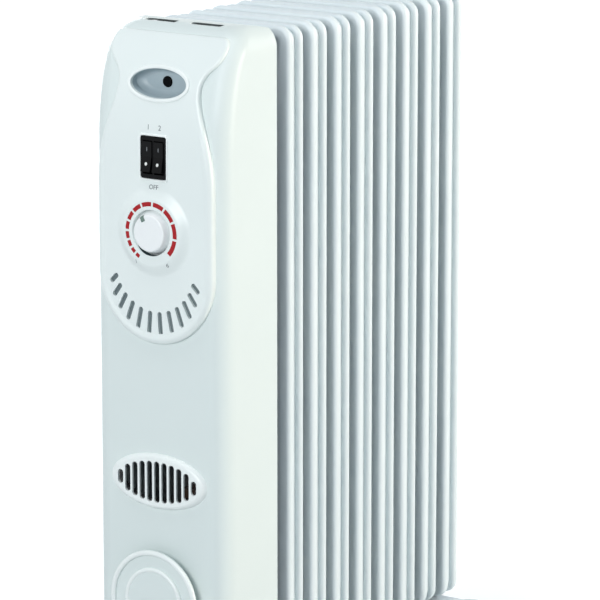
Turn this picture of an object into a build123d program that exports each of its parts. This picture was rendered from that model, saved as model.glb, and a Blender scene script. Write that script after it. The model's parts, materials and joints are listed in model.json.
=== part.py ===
"""Oil filled radiator heater: a stack of pressed steel fins on castor feet, with a control housing in front.

Millimetres, +Z up, controls facing -Y, +X to the right of a person who faces the controls.
The origin is on the floor under the middle of the heater.
"""

import math
import os

from build123d import *

# Fin stack
FIN_COUNT = 8
FIN_PITCH = 38.0
FIN_WIDTH = 144.0
FIN_HEIGHT = 590.0
FIN_CORNER = 14.0
FIN_SHEET = 1.0
RIM_DEPTH = 26.0
RIM_WALL = 0.8
RIM_LIP = 10.0
FRONT_BEAD = 9.0
REAR_BEAD = 8.0
REAR_BEAD_DROP = 1.0
VALLEY_DROP = 6.0
BEAD_ROUND = 3.5

# Oil channels pressed into each fin
RISER_PITCH = 38.0
RISER_WIDTH = 22.0
RISER_BULGE = 5.6
RISER_WALL = 0.8
RISER_ROUND = 7.0
RISER_SLOPE = 0.6
PAD_RADIUS = 31.0
HUB_INSET = 72.0
HUB_RADIUS = 24.0
BORE_RADIUS = 21.0
WEB_SLOT_COUNT = 4
WEB_SLOT_LENGTH = 62.0
WEB_SLOT_WIDTH = 5.0
WEB_SLOT_PITCH = 88.0

# Hub collars, caps, filler plug and heating element
CAP_FLANGE = 2.5
SPIGOT_LENGTH = 7.0
SPIGOT_GAP = 0.05
STUD_RADIUS = 5.0
STUD_LENGTH = 12.0
NECK_RADIUS = 12.0
NECK_LENGTH = 10.0
TERMINAL_SPREAD = 7.2
TUBE_RADIUS = 4.0
TUBE_SPREAD = 9.0
TUBE_STAGGER = 22.0
TERMINAL_RADIUS = 2.0
TERMINAL_LENGTH = 12.0
NUT_HEIGHT = 6.0
NUT_WALL = 4.5
THREAD_GAP = 0.05

# Control housing
HOUSING_WIDTH = 144.0
HOUSING_HEIGHT = 592.0
HOUSING_DEPTH = 81.0
HOUSING_LIFT = 4.0
HOUSING_GAP = 19.0
HOUSING_EDGE = 17.0
HOUSING_SHOULDER = 22.0
COVER_WALL = 2.5
ROOF_HEIGHT = 110.0
ROOF_DEPTH = 45.0
ROOF_FALL = 5.0
ROOF_STEPS = 10
ROOF_END = 86.0
ROOF_LEAD = 4
ROOF_LEAD_STEP = 12.0
ROOF_VENT_SPREAD = 24.5
ROOF_VENT_LENGTH = 34.0
ROOF_VENT_WIDTH = 3.6
ROOF_VENT_SETBACK = 42.0
ROOF_VENT_TILT = 25.0
ROOF_VENT_REACH = 14.0
PLATE_THICK = 1.5
PLATE_GAP = 0.3
BOTTOM_THICK = 2.0
BOSS_SIZE = 11.0
BOSS_DEPTH = 14.0
BOSS_LEVELS = 3
BOSS_MARGIN = 34.0

# Control panel on the housing
PANEL_PROUD = 5.0
PANEL_HALF = 62.0
PANEL_WALL = 2.5
PANEL_EDGE = 3.0
PANEL_DROP = 8.0
TONGUE_DROP = 220.0
HEAD_HALF = 62.0
HEAD_ROUND = 9.0
WAIST_HALF = 50.5
WAIST_DROP = 38.0
WAIST_END_DROP = 140.0
WINDOW_HALF = 36.0
WINDOW_TOP_DROP = 32.0
WINDOW_MARGIN = 14.0
WINDOW_END_RADIUS = 53.0
PANEL_BOSS = 4.0
PANEL_BOSS_SPREAD = 43.0
PANEL_BOSS_TOP_DROP = 120.0
PANEL_BOSS_LOW_DROP = 162.0
FAN_COUNT = 12
FAN_STEP = 8.0
FAN_WIDTH = 4.6
FAN_OUTER_DROP = 225.0
FAN_OUTER_RADIUS = 48.5
FAN_INNER_DROP = 210.0
FAN_INNER_RADIUS = 42.5

# Indicator dish and lamp
DISH_DROP = 50.0
DISH_WIDTH = 60.0
DISH_HEIGHT = 25.5
DISH_DEPTH = 5.7
DISH_SINK = 6.0
DISH_FLOOR_WIDTH = 44.0
DISH_FLOOR_HEIGHT = 17.0
DISH_WALL = 1.5
DISH_FLANGE = 3.0
DISH_CURVE = ((1.0, 0.0), (0.55, 0.7), (0.0, 1.0))
LAMP_RADIUS = 5.0
LAMP_BODY_RADIUS = 4.0
LAMP_BODY_LENGTH = 16.0
LAMP_PROUD = 1.6
LAMP_ROUND = 1.3

# Twin rocker switch
SWITCH_DROP = 114.5
SWITCH_WIDTH = 27.0
SWITCH_HEIGHT = 37.5
SWITCH_FLANGE = 1.8
SWITCH_RIM = 2.0
SWITCH_DEPTH = 26.0
SWITCH_GAP = 0.3
ROCKER_BAY_HEIGHT = 30.0
ROCKER_BAY_DEPTH = 10.0
ROCKER_DIVIDER = 1.6
ROCKER_SIDE_GAP = 0.35
ROCKER_HALF = 13.4
ROCKER_PROUD = 2.6
ROCKER_DISH = 1.6
ROCKER_PIVOT_DEPTH = 4.0
ROCKER_PIN_RADIUS = 1.4
ROCKER_PIN_LENGTH = 0.7
ROCKER_BACK_HALF = 8.0
ROCKER_TILT = 7.0
RUNNING_GAP = 0.05
TAB_WIDTH = 6.3
TAB_THICK = 0.8
TAB_LENGTH = 9.0

# Thermostat and knob
KNOB_DROP = 181.0
KNOB_RADIUS = 19.5
KNOB_FACE_RADIUS = 16.0
KNOB_HEIGHT = 8.0
KNOB_LIFT = 0.6
KNOB_ROUND = 1.6
KNOB_WALL = 2.2
KNOB_HUB_RADIUS = 5.5
KNOB_REST = 27.0
KNOB_MARK_WIDTH = 4.4
KNOB_MARK_LENGTH = 5.0
KNOB_MARK_DEPTH = 3.0
KNOB_MARK_INSET = 0.8
KNOB_SOCKET_FLOOR = 3.6
SHAFT_RADIUS = 3.0
SHAFT_DEPTH = 14.0
SHAFT_END_GAP = 0.5
BUSH_RADIUS = 5.0
BUSH_LENGTH = 2.8
BUSH_NUT_RADIUS = 8.5
BUSH_NUT_HEIGHT = 2.2
STAT_WIDTH = 34.0
STAT_HEIGHT = 42.0
STAT_DEPTH = 27.0

# Oval vent grille
GRILLE_RISE = 183.5
GRILLE_WIDTH = 105.0
GRILLE_HEIGHT = 51.0
GRILLE_PROUD = 4.2
GRILLE_TOP_WIDTH = 88.0
GRILLE_TOP_HEIGHT = 42.0
GRILLE_WALL = 2.0
GRILLE_SPIGOT = 4.0
GRILLE_CURVE = ((0.0, 0.0), (0.28, 0.62), (1.0, 1.0))
GRILLE_SLOT_COUNT = 11
GRILLE_SLOT_PITCH = 8.05
GRILLE_SLOT_WIDTH = 5.9
GRILLE_SLOT_HEIGHT = 38.0
GRILLE_SLOT_REACH = 42.8

# Cord-storage spool and cord inlet
SPOOL_RISE = 74.5
SPOOL_RADIUS = 47.0
SPOOL_DRUM_RADIUS = 29.0
SPOOL_GROOVE = 7.5
SPOOL_FLANGE = 3.5
SPOOL_LIP = 3.5
SPOOL_LIP_HEIGHT = 1.6
SPOOL_DOME_RADIUS = 29.5
SPOOL_DOME_HEIGHT = 2.6
SPOOL_CROWN_RADIUS = 17.7
SPOOL_CROWN_HEIGHT = 2.2
SPOOL_WALL = 3.0
INLET_OFFSET = 38.0
INLET_BORE = 4.0
INLET_WALL = 3.0
INLET_FLANGE = 2.2
INLET_LENGTH = 13.0

# Parts on the back plate
BLOCK_WIDTH = 44.0
BLOCK_HEIGHT = 20.0
BLOCK_DEPTH = 17.0
BLOCK_RISE = 150.0
BLOCK_WAYS = 3
BLOCK_SCREW_RADIUS = 2.2
CUTOUT_RADIUS = 9.0
CUTOUT_HEIGHT = 8.0
CUTOUT_RISE = 330.0
CUTOUT_STRAP = 36.0

# Screws
SCREW_RADIUS = 1.9
SCREW_GAP = 0.1
SCREW_LENGTH = 11.0
PANEL_SCREW_LENGTH = 6.0
SCREW_HEAD_RADIUS = 3.6
SCREW_HEAD_HEIGHT = 2.2

# Feet, U-bolts and wing nuts
FOOT_THICK = 17.0
FOOT_DEPTH = 40.0
FOOT_WALL = 3.0
FOOT_ROUND = 4.0
FOOT_DOME = 4.0
FOOT_DOME_RADIUS = 15.0
FOOT_DOME_ROUND = 3.6
CASTOR_SPREAD = 105.0
SOCKET_RADIUS = 9.0
BOLT_RADIUS = 3.0
BOLT_WRAP_GAP = 0.3
BOLT_HOLE_GAP = 0.3
BOLT_BOSS_WALL = 4.0
BOLT_TAIL = 11.0
WING_HUB_RADIUS = 6.5
WING_HUB_HEIGHT = 6.5
WING_REACH = 14.0
WING_HEIGHT = 9.0
WING_THICK = 2.4

# Castors
WHEEL_RADIUS = 20.0
WHEEL_WIDTH = 9.0
WHEEL_ROUND = 2.0
WHEEL_DISH = 2.0
WHEEL_DISH_RADIUS = 14.0
WHEEL_HUB_RADIUS = 6.5
WHEEL_SIDE_GAP = 0.5
AXLE_RADIUS = 3.0
AXLE_HEAD = 1.2
AXLE_HEAD_RADIUS = 4.6
CASTOR_TRAIL = 15.0
CASTOR_WEB = 5.0
CASTOR_EYE_RADIUS = 7.0
HOOD_GAP = 2.0
HOOD_WALL = 2.5
HOOD_REACH = 1.5
STEM_RADIUS = 4.0
STEM_LENGTH = 13.0
STEM_BOSS_RADIUS = 8.0
SWIVEL_GAP = 0.5

# How far a cutter runs past what it cuts
OVERRUN = 2.0

# Places that follow from the sizes
GAP = FIN_PITCH - RIM_DEPTH
STACK = (FIN_COUNT - 1) * FIN_PITCH + RIM_DEPTH
FACE_REACH = max(PANEL_PROUD + KNOB_LIFT + KNOB_HEIGHT, SPOOL_GROOVE + SPOOL_FLANGE)
FRONT_REACH = HOUSING_GAP + HOUSING_DEPTH + FACE_REACH
REAR_REACH = STACK + CAP_FLANGE
Y_STACK = (FRONT_REACH - REAR_REACH) / 2
Y_REAR = Y_STACK - HOUSING_GAP
Y_PLATE = Y_REAR - PLATE_THICK
Y_FACE = Y_REAR - HOUSING_DEPTH
Y_PANEL = Y_FACE - PANEL_PROUD
HOOD_RADIUS = WHEEL_RADIUS + HOOD_GAP + HOOD_WALL
Z_THRUST = WHEEL_RADIUS + HOOD_RADIUS
Z_FOOT = Z_THRUST + SWIVEL_GAP
Z_FIN = Z_FOOT + FOOT_THICK
Z_MID = Z_FIN + FIN_HEIGHT / 2
HUB_RISE = FIN_HEIGHT / 2 - HUB_INSET
Z_HOUSING = Z_FIN + HOUSING_LIFT
Z_TOP = Z_HOUSING + HOUSING_HEIGHT
Z_ROOF = Z_TOP - ROOF_HEIGHT
Y_CREST = Y_FACE + ROOF_DEPTH
BOW_DEPTH = PANEL_PROUD + ROOF_DEPTH
Z_KNOB = Z_TOP - KNOB_DROP
Z_SWITCH = Z_TOP - SWITCH_DROP
Z_DISH = Z_TOP - DISH_DROP
Z_GRILLE = Z_HOUSING + GRILLE_RISE
Z_SPOOL = Z_HOUSING + SPOOL_RISE
PLATE_HALF = HOUSING_WIDTH / 2 - COVER_WALL - PLATE_GAP
BAY_WIDTH = SWITCH_WIDTH - 2 * SWITCH_RIM
BOLT_SPREAD = HUB_RADIUS + BOLT_WRAP_GAP + BOLT_RADIUS


def facing(y, x=0.0, z=0.0):
    """Plane that looks out of the control face, with local x along X and local y along Z."""
    return Plane(origin=(x, y, z), x_dir=(1, 0, 0), z_dir=(0, -1, 0))


def prism(sketch, front, back, x=0.0, z=0.0):
    """Sketch as seen from the front, filled from y = front to y = back."""
    return extrude(facing(back, x, z) * sketch, back - front)


def rod(radius, front, back, x=0.0, z=0.0):
    """Round bar along Y."""
    return prism(Circle(radius), front, back, x, z)


def post(radius, low, high, x=0.0, y=0.0):
    """Round bar along Z."""
    return extrude(Plane(origin=(x, y, low)) * Circle(radius), high - low)


def pin(radius, left, right, y=0.0, z=0.0):
    """Round bar along X."""
    end = Plane(origin=(left, y, z), x_dir=(0, 1, 0), z_dir=(1, 0, 0))
    return extrude(end * Circle(radius), right - left)


def box(left, right, front, back, low, high):
    """Block between three pairs of planes."""
    return Pos((left + right) / 2, (front + back) / 2, (low + high) / 2) * Box(
        right - left, back - front, high - low
    )


def turned(points, y, x=0.0, z=0.0):
    """Solid of revolution about an axis along Y, from (radius, distance out of the face) points."""
    outline = make_face(Polyline(*points, close=True))
    return facing(y, x, z) * revolve(Plane.XZ * outline, Axis.Z)


def gap_middle(index):
    """Middle of the gap behind fin number index, counted from the front."""
    return Y_STACK + RIM_DEPTH + GAP / 2 + (index - 1) * FIN_PITCH


def fin_outline(inset):
    """Outline of a fin seen from the front, drawn in by inset."""
    return RectangleRounded(FIN_WIDTH - 2 * inset, FIN_HEIGHT - 2 * inset, FIN_CORNER - inset)


def bead(drop, front, back):
    """Rounded roll of a rim's outer edge between two planes."""
    roll = prism(fin_outline(drop), front, back)
    ends = roll.edges().group_by(Axis.Y)
    return fillet(ends[0] + ends[-1], BEAD_ROUND)


def bead_hollow(drop, front, back):
    """Space inside a bead, with its corners cut off so that the wall keeps its thickness."""
    space = prism(fin_outline(drop + RIM_WALL), front + RIM_WALL, back - RIM_WALL)
    ends = space.edges().group_by(Axis.Y)
    return chamfer(ends[0] + ends[-1], BEAD_ROUND - RIM_WALL)


def fin_rim():
    """Folded rim: a bead in front, a lower bead behind, a valley between, and a lip at both edges."""
    half = RIM_DEPTH / 2
    front = (0, -half, FRONT_BEAD - half)
    rear = (REAR_BEAD_DROP, half - REAR_BEAD, half)
    valley = prism(fin_outline(VALLEY_DROP), (FRONT_BEAD - RIM_DEPTH) / 2, (RIM_DEPTH - REAR_BEAD) / 2)
    rim = bead(*front) + valley + bead(*rear)
    hollow = prism(fin_outline(VALLEY_DROP + RIM_WALL), RIM_WALL - half, half - RIM_WALL)
    mouth = prism(fin_outline(RIM_LIP), -half - OVERRUN, half + OVERRUN)
    return rim - bead_hollow(*front) - bead_hollow(*rear) - hollow - mouth


def oilway(inset):
    """Outline of the pressed oil channels: three risers, two headers and the round hub pads."""
    shape = Sketch()
    for x in (-RISER_PITCH, 0, RISER_PITCH):
        shape += Pos(x, 0) * Rectangle(RISER_WIDTH, 2 * HUB_RISE + RISER_WIDTH)
    for z in (-HUB_RISE, HUB_RISE):
        shape += Pos(0, z) * Rectangle(2 * RISER_PITCH + RISER_WIDTH, RISER_WIDTH)
        shape += Pos(0, z) * Circle(PAD_RADIUS)
    shape = fillet(shape.vertices(), RISER_ROUND)
    return offset(shape, -inset)


def bulge(inset):
    """Pressed channels on both sides of the sheet, drawn in by inset."""
    height = RISER_BULGE - inset
    outline = oilway(inset)
    flat = prism(outline, -height, height)
    ends = flat.edges().group_by(Axis.Y)
    return chamfer(ends[0] + ends[-1], height * RISER_SLOPE)


def fin():
    """One fin about its own middle: rim, sheet, hollow oil channels, hubs with through bores, web slots."""
    half = RIM_DEPTH / 2
    body = fin_rim()
    body += prism(fin_outline(VALLEY_DROP + RIM_WALL / 2), -FIN_SHEET / 2, FIN_SHEET / 2)
    body += bulge(0)
    for z in (-HUB_RISE, HUB_RISE):
        body += rod(HUB_RADIUS, -half, half, z=z)
    body -= bulge(RISER_WALL)
    for z in (-HUB_RISE, HUB_RISE):
        body -= rod(BORE_RADIUS, -half - OVERRUN, half + OVERRUN, z=z)
    slot = SlotOverall(WEB_SLOT_LENGTH, WEB_SLOT_WIDTH, rotation=90)
    for row in range(WEB_SLOT_COUNT):
        z = (row - (WEB_SLOT_COUNT - 1) / 2) * WEB_SLOT_PITCH
        for x in (-RISER_PITCH / 2, RISER_PITCH / 2):
            body -= prism(slot, -half, half, x, z)
    return body


def hub_collars(z):
    """Rings that join the hubs of neighbouring fins at one level."""
    rings = []
    for index in range(1, FIN_COUNT):
        y = gap_middle(index)
        ring = rod(HUB_RADIUS, y - GAP / 2, y + GAP / 2, z=z)
        rings.append(ring - rod(BORE_RADIUS, y - GAP, y + GAP, z=z))
    return Compound(children=rings)


def hub_plug(back, z):
    """Flange that seats on the first fin's hub and carries the back plate, its spigot in the hub's bore."""
    flange = rod(HUB_RADIUS, Y_REAR, back, z=z)
    return flange + rod(BORE_RADIUS - SPIGOT_GAP, back, back + SPIGOT_LENGTH, z=z)


def rear_caps():
    """Caps that close both hubs of the last fin."""
    back = Y_STACK + STACK
    caps = []
    for z in (Z_MID - HUB_RISE, Z_MID + HUB_RISE):
        disc = rod(HUB_RADIUS, back, back + CAP_FLANGE, z=z)
        disc = chamfer(disc.edges().group_by(Axis.Y)[-1], CAP_FLANGE / 2)
        caps.append(disc + rod(BORE_RADIUS - SPIGOT_GAP, back - SPIGOT_LENGTH, back, z=z))
    return Compound(children=caps)


def filler_plug():
    """Upper plug with the stud that holds the back plate."""
    z = Z_MID + HUB_RISE
    return hub_plug(Y_STACK, z) + rod(STUD_RADIUS, Y_PLATE - STUD_LENGTH, Y_REAR, z=z)


def hairpin(reach, upright):
    """One bent heating tube from the plug's spigot to y = reach and back."""
    start = Y_STACK + SPIGOT_LENGTH
    turn = reach - TUBE_SPREAD
    path = Polyline((-TUBE_SPREAD, start), (-TUBE_SPREAD, turn))
    path += ThreePointArc((-TUBE_SPREAD, turn), (0, reach), (TUBE_SPREAD, turn))
    path += Line((TUBE_SPREAD, turn), (TUBE_SPREAD, start))
    mouth = Plane(origin=(-TUBE_SPREAD, start, 0), x_dir=(1, 0, 0), z_dir=(0, 1, 0)) * Circle(TUBE_RADIUS)
    tube = sweep(mouth, path=path)
    return Rot(0, 90, 0) * tube if upright else tube


def heating_element():
    """Immersion element: plug, neck through the back plate, two hairpin tubes and four terminals."""
    z = Z_MID - HUB_RISE
    reach = Y_STACK + STACK - RIM_DEPTH
    body = hub_plug(Y_STACK, z) + rod(NECK_RADIUS, Y_PLATE - NECK_LENGTH, Y_REAR, z=z)
    body += Pos(0, 0, z) * hairpin(reach, False)
    body += Pos(0, 0, z) * hairpin(reach - TUBE_STAGGER, True)
    front = Y_PLATE - NECK_LENGTH
    for x, rise in ((-1, 0), (1, 0), (0, -1), (0, 1)):
        side = x * TERMINAL_SPREAD
        body += rod(TERMINAL_RADIUS, front - TERMINAL_LENGTH, front, side, z + rise * TERMINAL_SPREAD)
    return body


def plate_nut(radius, z):
    """Hexagon nut that clamps the back plate."""
    hexagon = RegularPolygon(radius + NUT_WALL, 6, major_radius=False)
    return prism(hexagon - Circle(radius + THREAD_GAP), Y_PLATE - NUT_HEIGHT, Y_PLATE, z=z)


def roof_section(angle, inset):
    """Half width, front and height of the housing's level section at an angle round its roof curve."""
    rise = (ROOF_HEIGHT - inset) * math.sin(angle)
    front = Y_FACE + inset + (ROOF_DEPTH - inset) * (1 - math.cos(angle))
    half = HOUSING_WIDTH / 2 - inset
    corner = HOUSING_SHOULDER - inset
    over = Z_ROOF + rise - (Z_TOP - HOUSING_SHOULDER)
    if over > 0:
        half -= corner - math.sqrt(max(corner**2 - over**2, 0))
    return half, front, Z_ROOF + rise


def level_section(half, front, z, back, edge):
    """Level section of the housing: straight back, two rounded front corners."""
    bend = edge * math.sqrt(0.5)
    outline = Line((-half, back), (-half, front + edge))
    outline += ThreePointArc(
        (-half, front + edge), (edge - half - bend, front + edge - bend), (edge - half, front)
    )
    outline += Line((edge - half, front), (half - edge, front))
    outline += ThreePointArc(
        (half - edge, front), (half - edge + bend, front + edge - bend), (half, front + edge)
    )
    outline += Line((half, front + edge), (half, back))
    outline += Line((half, back), (-half, back))
    return Pos(0, 0, z) * make_face(outline)


def housing_form(inset, back, low):
    """Solid bounded by the housing's outside, drawn in by inset, down and back to the given planes."""
    half, front, start = roof_section(0, inset)
    edge = HOUSING_EDGE - inset
    sections = []
    for step in range(ROOF_LEAD, 0, -1):
        sections.append(level_section(half, front, start - step * ROOF_LEAD_STEP, back, edge))
    for step in range(ROOF_STEPS):
        angle = math.radians(ROOF_END * step / (ROOF_STEPS - 1))
        wide, lean, z = roof_section(angle, inset)
        sections.append(level_section(wide, lean, z, back, edge))
    base = start - ROOF_LEAD * ROOF_LEAD_STEP
    lower = extrude(level_section(half, front, low, back, edge), base - low)
    return lower + loft(sections) - roof_trim(inset)


def roof_trim(inset):
    """What lies above the roof's fall from its crest to the back, for a form drawn in by inset."""
    run = Y_REAR - Y_CREST
    radius = (run**2 + ROOF_FALL**2) / (2 * ROOF_FALL)
    reach = HOUSING_WIDTH / 2 + OVERRUN
    above = box(-reach, reach, Y_CREST, Y_REAR + 2 * OVERRUN, Z_TOP - HOUSING_SHOULDER, Z_TOP + OVERRUN)
    return above - pin(radius - inset, -reach, reach, Y_CREST, Z_TOP - radius)


def cover_bosses():
    """Blocks on the cover's side walls that take the back plate's screws."""
    reach = HOUSING_WIDTH / 2 - COVER_WALL / 2
    for x, z in plate_screw_places():
        left, right = (-reach, x + BOSS_SIZE / 2) if x < 0 else (x - BOSS_SIZE / 2, reach)
        block = box(left, right, Y_PLATE - BOSS_DEPTH, Y_PLATE, z - BOSS_SIZE / 2, z + BOSS_SIZE / 2)
        yield block - rod(SCREW_RADIUS + SCREW_GAP, Y_PLATE - BOSS_DEPTH, Y_PLATE, x, z)


def plate_screw_places():
    """X and Z of the screws through the back plate."""
    low = Z_HOUSING + BOSS_MARGIN
    high = Z_TOP - HOUSING_SHOULDER - BOSS_MARGIN
    x = PLATE_HALF - BOSS_SIZE / 2
    for level in range(BOSS_LEVELS):
        z = low + (high - low) * level / (BOSS_LEVELS - 1)
        yield -x, z
        yield x, z


def panel_screw_places():
    """X and Z of the screws that hold the control panel from inside the cover."""
    for drop in (PANEL_BOSS_TOP_DROP, PANEL_BOSS_LOW_DROP):
        for side in (-PANEL_BOSS_SPREAD, PANEL_BOSS_SPREAD):
            yield side, Z_TOP - drop


def panel_window():
    """Opening in the cover behind the control panel, wide and round behind the fan of slots."""
    low = Z_TOP - TONGUE_DROP
    high = Z_TOP - WINDOW_TOP_DROP
    outline = Pos(0, (low + high) / 2) * RectangleRounded(2 * WINDOW_HALF, high - low, WINDOW_MARGIN)
    outline += Pos(0, low) * Circle(WINDOW_END_RADIUS)
    return prism(outline, Y_FACE - OVERRUN, Y_REAR)


def roof_vents():
    """Cutters for the two long vents on the roof's crest, sloping down into the housing."""
    tilt = math.radians(ROOF_VENT_TILT)
    share = 1 - ROOF_VENT_SETBACK / ROOF_DEPTH
    y = Y_FACE + ROOF_VENT_SETBACK
    z = Z_ROOF + ROOF_HEIGHT * math.sqrt(1 - share**2)
    slot = SlotOverall(ROOF_VENT_LENGTH, ROOF_VENT_WIDTH)
    for x in (-ROOF_VENT_SPREAD, ROOF_VENT_SPREAD):
        mouth = Plane(origin=(x, y, z), x_dir=(1, 0, 0), z_dir=(0, -math.cos(tilt), math.sin(tilt)))
        yield extrude(mouth * slot, ROOF_VENT_REACH, both=True)


def front_cover():
    """Moulded cover: open at the back and below, with the vents, the panel window and the screw bosses."""
    cover = housing_form(0, Y_REAR, Z_HOUSING)
    cover -= housing_form(COVER_WALL, Y_REAR + OVERRUN, Z_HOUSING - OVERRUN)
    for block in cover_bosses():
        cover += block
    cover -= panel_window()
    for vent in roof_vents():
        cover -= vent
    hole = Ellipse(GRILLE_TOP_WIDTH / 2, GRILLE_TOP_HEIGHT / 2)
    cover -= prism(hole, Y_FACE - OVERRUN, Y_FACE + COVER_WALL + OVERRUN, z=Z_GRILLE)
    places = list(panel_screw_places()) + [(0, Z_SPOOL)]
    for x, z in places:
        cover -= rod(SCREW_RADIUS + SCREW_GAP, Y_FACE - OVERRUN, Y_FACE + COVER_WALL + OVERRUN, x, z)
    return cover


def panel_outline(inset):
    """Front outline of the control panel, drawn in by inset: head, waist and round-ended tongue."""
    top = Z_TOP - PANEL_DROP - inset
    head = HEAD_HALF - inset
    side = PANEL_HALF - inset
    bend = HEAD_ROUND - inset
    shoulder = top - bend
    root = Z_TOP - TONGUE_DROP
    slant = bend * math.sqrt(0.5)
    outline = Line((bend - head, top), (head - bend, top))
    for sign in (1, -1):
        corner = (sign * (head - bend + slant), shoulder + slant)
        waist = (sign * (WAIST_HALF - inset), Z_TOP - WAIST_DROP)
        end = (sign * side, Z_TOP - WAIST_END_DROP)
        outline += ThreePointArc((sign * (head - bend), top), corner, (sign * head, shoulder))
        outline += Spline((sign * head, shoulder), waist, end, tangents=((0, -1), (0, -1)))
        outline += Line(end, (sign * side, root))
    outline += ThreePointArc((side, root), (0, root - side), (-side, root))
    return make_face(outline)


def panel_slab(inset):
    """Block with the panel's outline and its bowed front, drawn in by inset."""
    front = Y_PANEL + inset
    depth = BOW_DEPTH - inset
    height = ROOF_HEIGHT - inset
    low = Z_TOP - TONGUE_DROP - PANEL_HALF - OVERRUN
    side = Line((front, low), (front, Z_ROOF))
    side += EllipticalCenterArc((front + depth, Z_ROOF), depth, height, 90, arc_size=90)
    side += Line((front + depth, Z_ROOF + height), (front + depth, low))
    side += Line((front + depth, low), (front, low))
    bow = extrude(Plane.YZ * make_face(side), HEAD_HALF + OVERRUN, both=True)
    return bow & prism(panel_outline(inset), Y_PANEL - OVERRUN, Y_REAR)


def panel_edges(slab):
    """Edges round the panel's front."""
    fronts = slab.faces().filter_by(lambda face: face.normal_at().Y < -0.3)
    edges = ShapeList()
    for face in fronts:
        edges += face.edges()
    return edges.filter_by(lambda edge: abs(edge.center().X) > 1 or abs(edge.center().Z - Z_ROOF) > 1)


def fan_slots():
    """Cutters for the vent slots that spread from the knob's axis along the end of the tongue."""
    for index in range(FAN_COUNT):
        angle = math.radians(FAN_STEP * (index - (FAN_COUNT - 1) / 2))
        inner = ray_to_circle(angle, Z_TOP - FAN_INNER_DROP, FAN_INNER_RADIUS)
        outer = ray_to_circle(angle, Z_TOP - FAN_OUTER_DROP, FAN_OUTER_RADIUS)
        middle = (inner + outer) / 2
        slot = SlotOverall(outer - inner, FAN_WIDTH, rotation=math.degrees(angle) - 90)
        drop = middle * math.cos(angle)
        yield prism(slot, Y_PANEL - OVERRUN, Y_FACE, middle * math.sin(angle), Z_KNOB - drop)


def ray_to_circle(angle, centre, radius):
    """Distance from the knob's axis, down a ray, to the far side of a circle on the middle line."""
    drop = Z_KNOB - centre
    return drop * math.cos(angle) + math.sqrt(radius**2 - (drop * math.sin(angle)) ** 2)


def dish_plane():
    """Plane of the indicator dish, through the panel's bowed front at the dish's middle."""
    share = (ROOF_HEIGHT - DISH_DROP) / ROOF_HEIGHT
    return facing(Y_PANEL + BOW_DEPTH * (1 - math.sqrt(1 - share**2)), z=Z_DISH)


def dish_cup(grow):
    """Solid cup of the dish in its own plane, grown on all sides by grow."""
    sections = []
    for share, sink in DISH_CURVE:
        width = DISH_FLOOR_WIDTH + share * (DISH_WIDTH - DISH_FLOOR_WIDTH) + 2 * grow
        height = DISH_FLOOR_HEIGHT + share * (DISH_HEIGHT - DISH_FLOOR_HEIGHT) + 2 * grow
        level = -PANEL_WALL - DISH_SINK - sink * (DISH_DEPTH + grow)
        sections.append(Pos(0, 0, level) * Ellipse(width / 2, height / 2))
    return loft(sections)


def indicator_dish():
    """Oval dish behind the panel's opening, its collar cut to the panel's inside, with the lamp's hole."""
    back = -PANEL_WALL - DISH_SINK
    mouth = Ellipse(DISH_WIDTH / 2, DISH_HEIGHT / 2)
    ring = Ellipse(DISH_WIDTH / 2 + DISH_FLANGE, DISH_HEIGHT / 2 + DISH_FLANGE) - mouth
    collar = dish_plane() * extrude(Pos(0, 0, back) * ring, BOW_DEPTH)
    hole = Pos(0, 0, back - 2 * DISH_DEPTH) * Circle(LAMP_BODY_RADIUS + RUNNING_GAP)
    cup = dish_cup(DISH_WALL) - dish_cup(0) - extrude(hole, 2 * DISH_DEPTH)
    return (collar & panel_slab(PANEL_WALL)) + dish_plane() * cup


def pilot_lamp():
    """Round lamp: domed lens on the dish's floor and a body behind it."""
    floor = -PANEL_WALL - DISH_SINK - DISH_DEPTH
    lens = extrude(Pos(0, 0, floor) * Circle(LAMP_RADIUS), LAMP_PROUD)
    lens = fillet(lens.edges().group_by(Axis.Z)[-1], LAMP_ROUND)
    body = extrude(Pos(0, 0, floor - LAMP_BODY_LENGTH) * Circle(LAMP_BODY_RADIUS), LAMP_BODY_LENGTH)
    return dish_plane() * (lens + body)


def control_panel():
    """Raised control panel: hollow behind, with openings for dish, switch and shaft and the fan of slots."""
    slab = panel_slab(0)
    slab = fillet(panel_edges(slab), PANEL_EDGE)
    panel = slab - panel_slab(PANEL_WALL) - housing_form(0, Y_REAR, Z_HOUSING)
    for x, z in panel_screw_places():
        panel += rod(PANEL_BOSS, Y_PANEL + PANEL_WALL / 2, Y_FACE, x, z)
        panel -= rod(SCREW_RADIUS + SCREW_GAP, Y_FACE - PANEL_SCREW_LENGTH + COVER_WALL, Y_FACE, x, z)
    mouth = Ellipse(DISH_WIDTH / 2, DISH_HEIGHT / 2)
    panel -= prism(mouth, Y_PANEL - OVERRUN, Y_REAR, z=Z_DISH)
    seat = RectangleRounded(SWITCH_WIDTH + 2 * SWITCH_GAP, SWITCH_HEIGHT + 2 * SWITCH_GAP, SWITCH_RIM)
    panel -= prism(seat, Y_PANEL - OVERRUN, Y_PANEL + PANEL_WALL / 2, z=Z_SWITCH)
    play = 2 * SWITCH_GAP - SWITCH_RIM
    hole = Rectangle(SWITCH_WIDTH + play, SWITCH_HEIGHT + play)
    panel -= prism(hole, Y_PANEL - OVERRUN, Y_FACE, z=Z_SWITCH)
    panel -= rod(BUSH_RADIUS + THREAD_GAP, Y_PANEL - OVERRUN, Y_FACE, z=Z_KNOB)
    for slot in fan_slots():
        panel -= slot
    return panel


def rocker_pivot():
    """Y of the axis on which both rockers turn."""
    return Y_PANEL + PANEL_WALL / 2 - SWITCH_FLANGE + ROCKER_PIVOT_DEPTH


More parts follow.
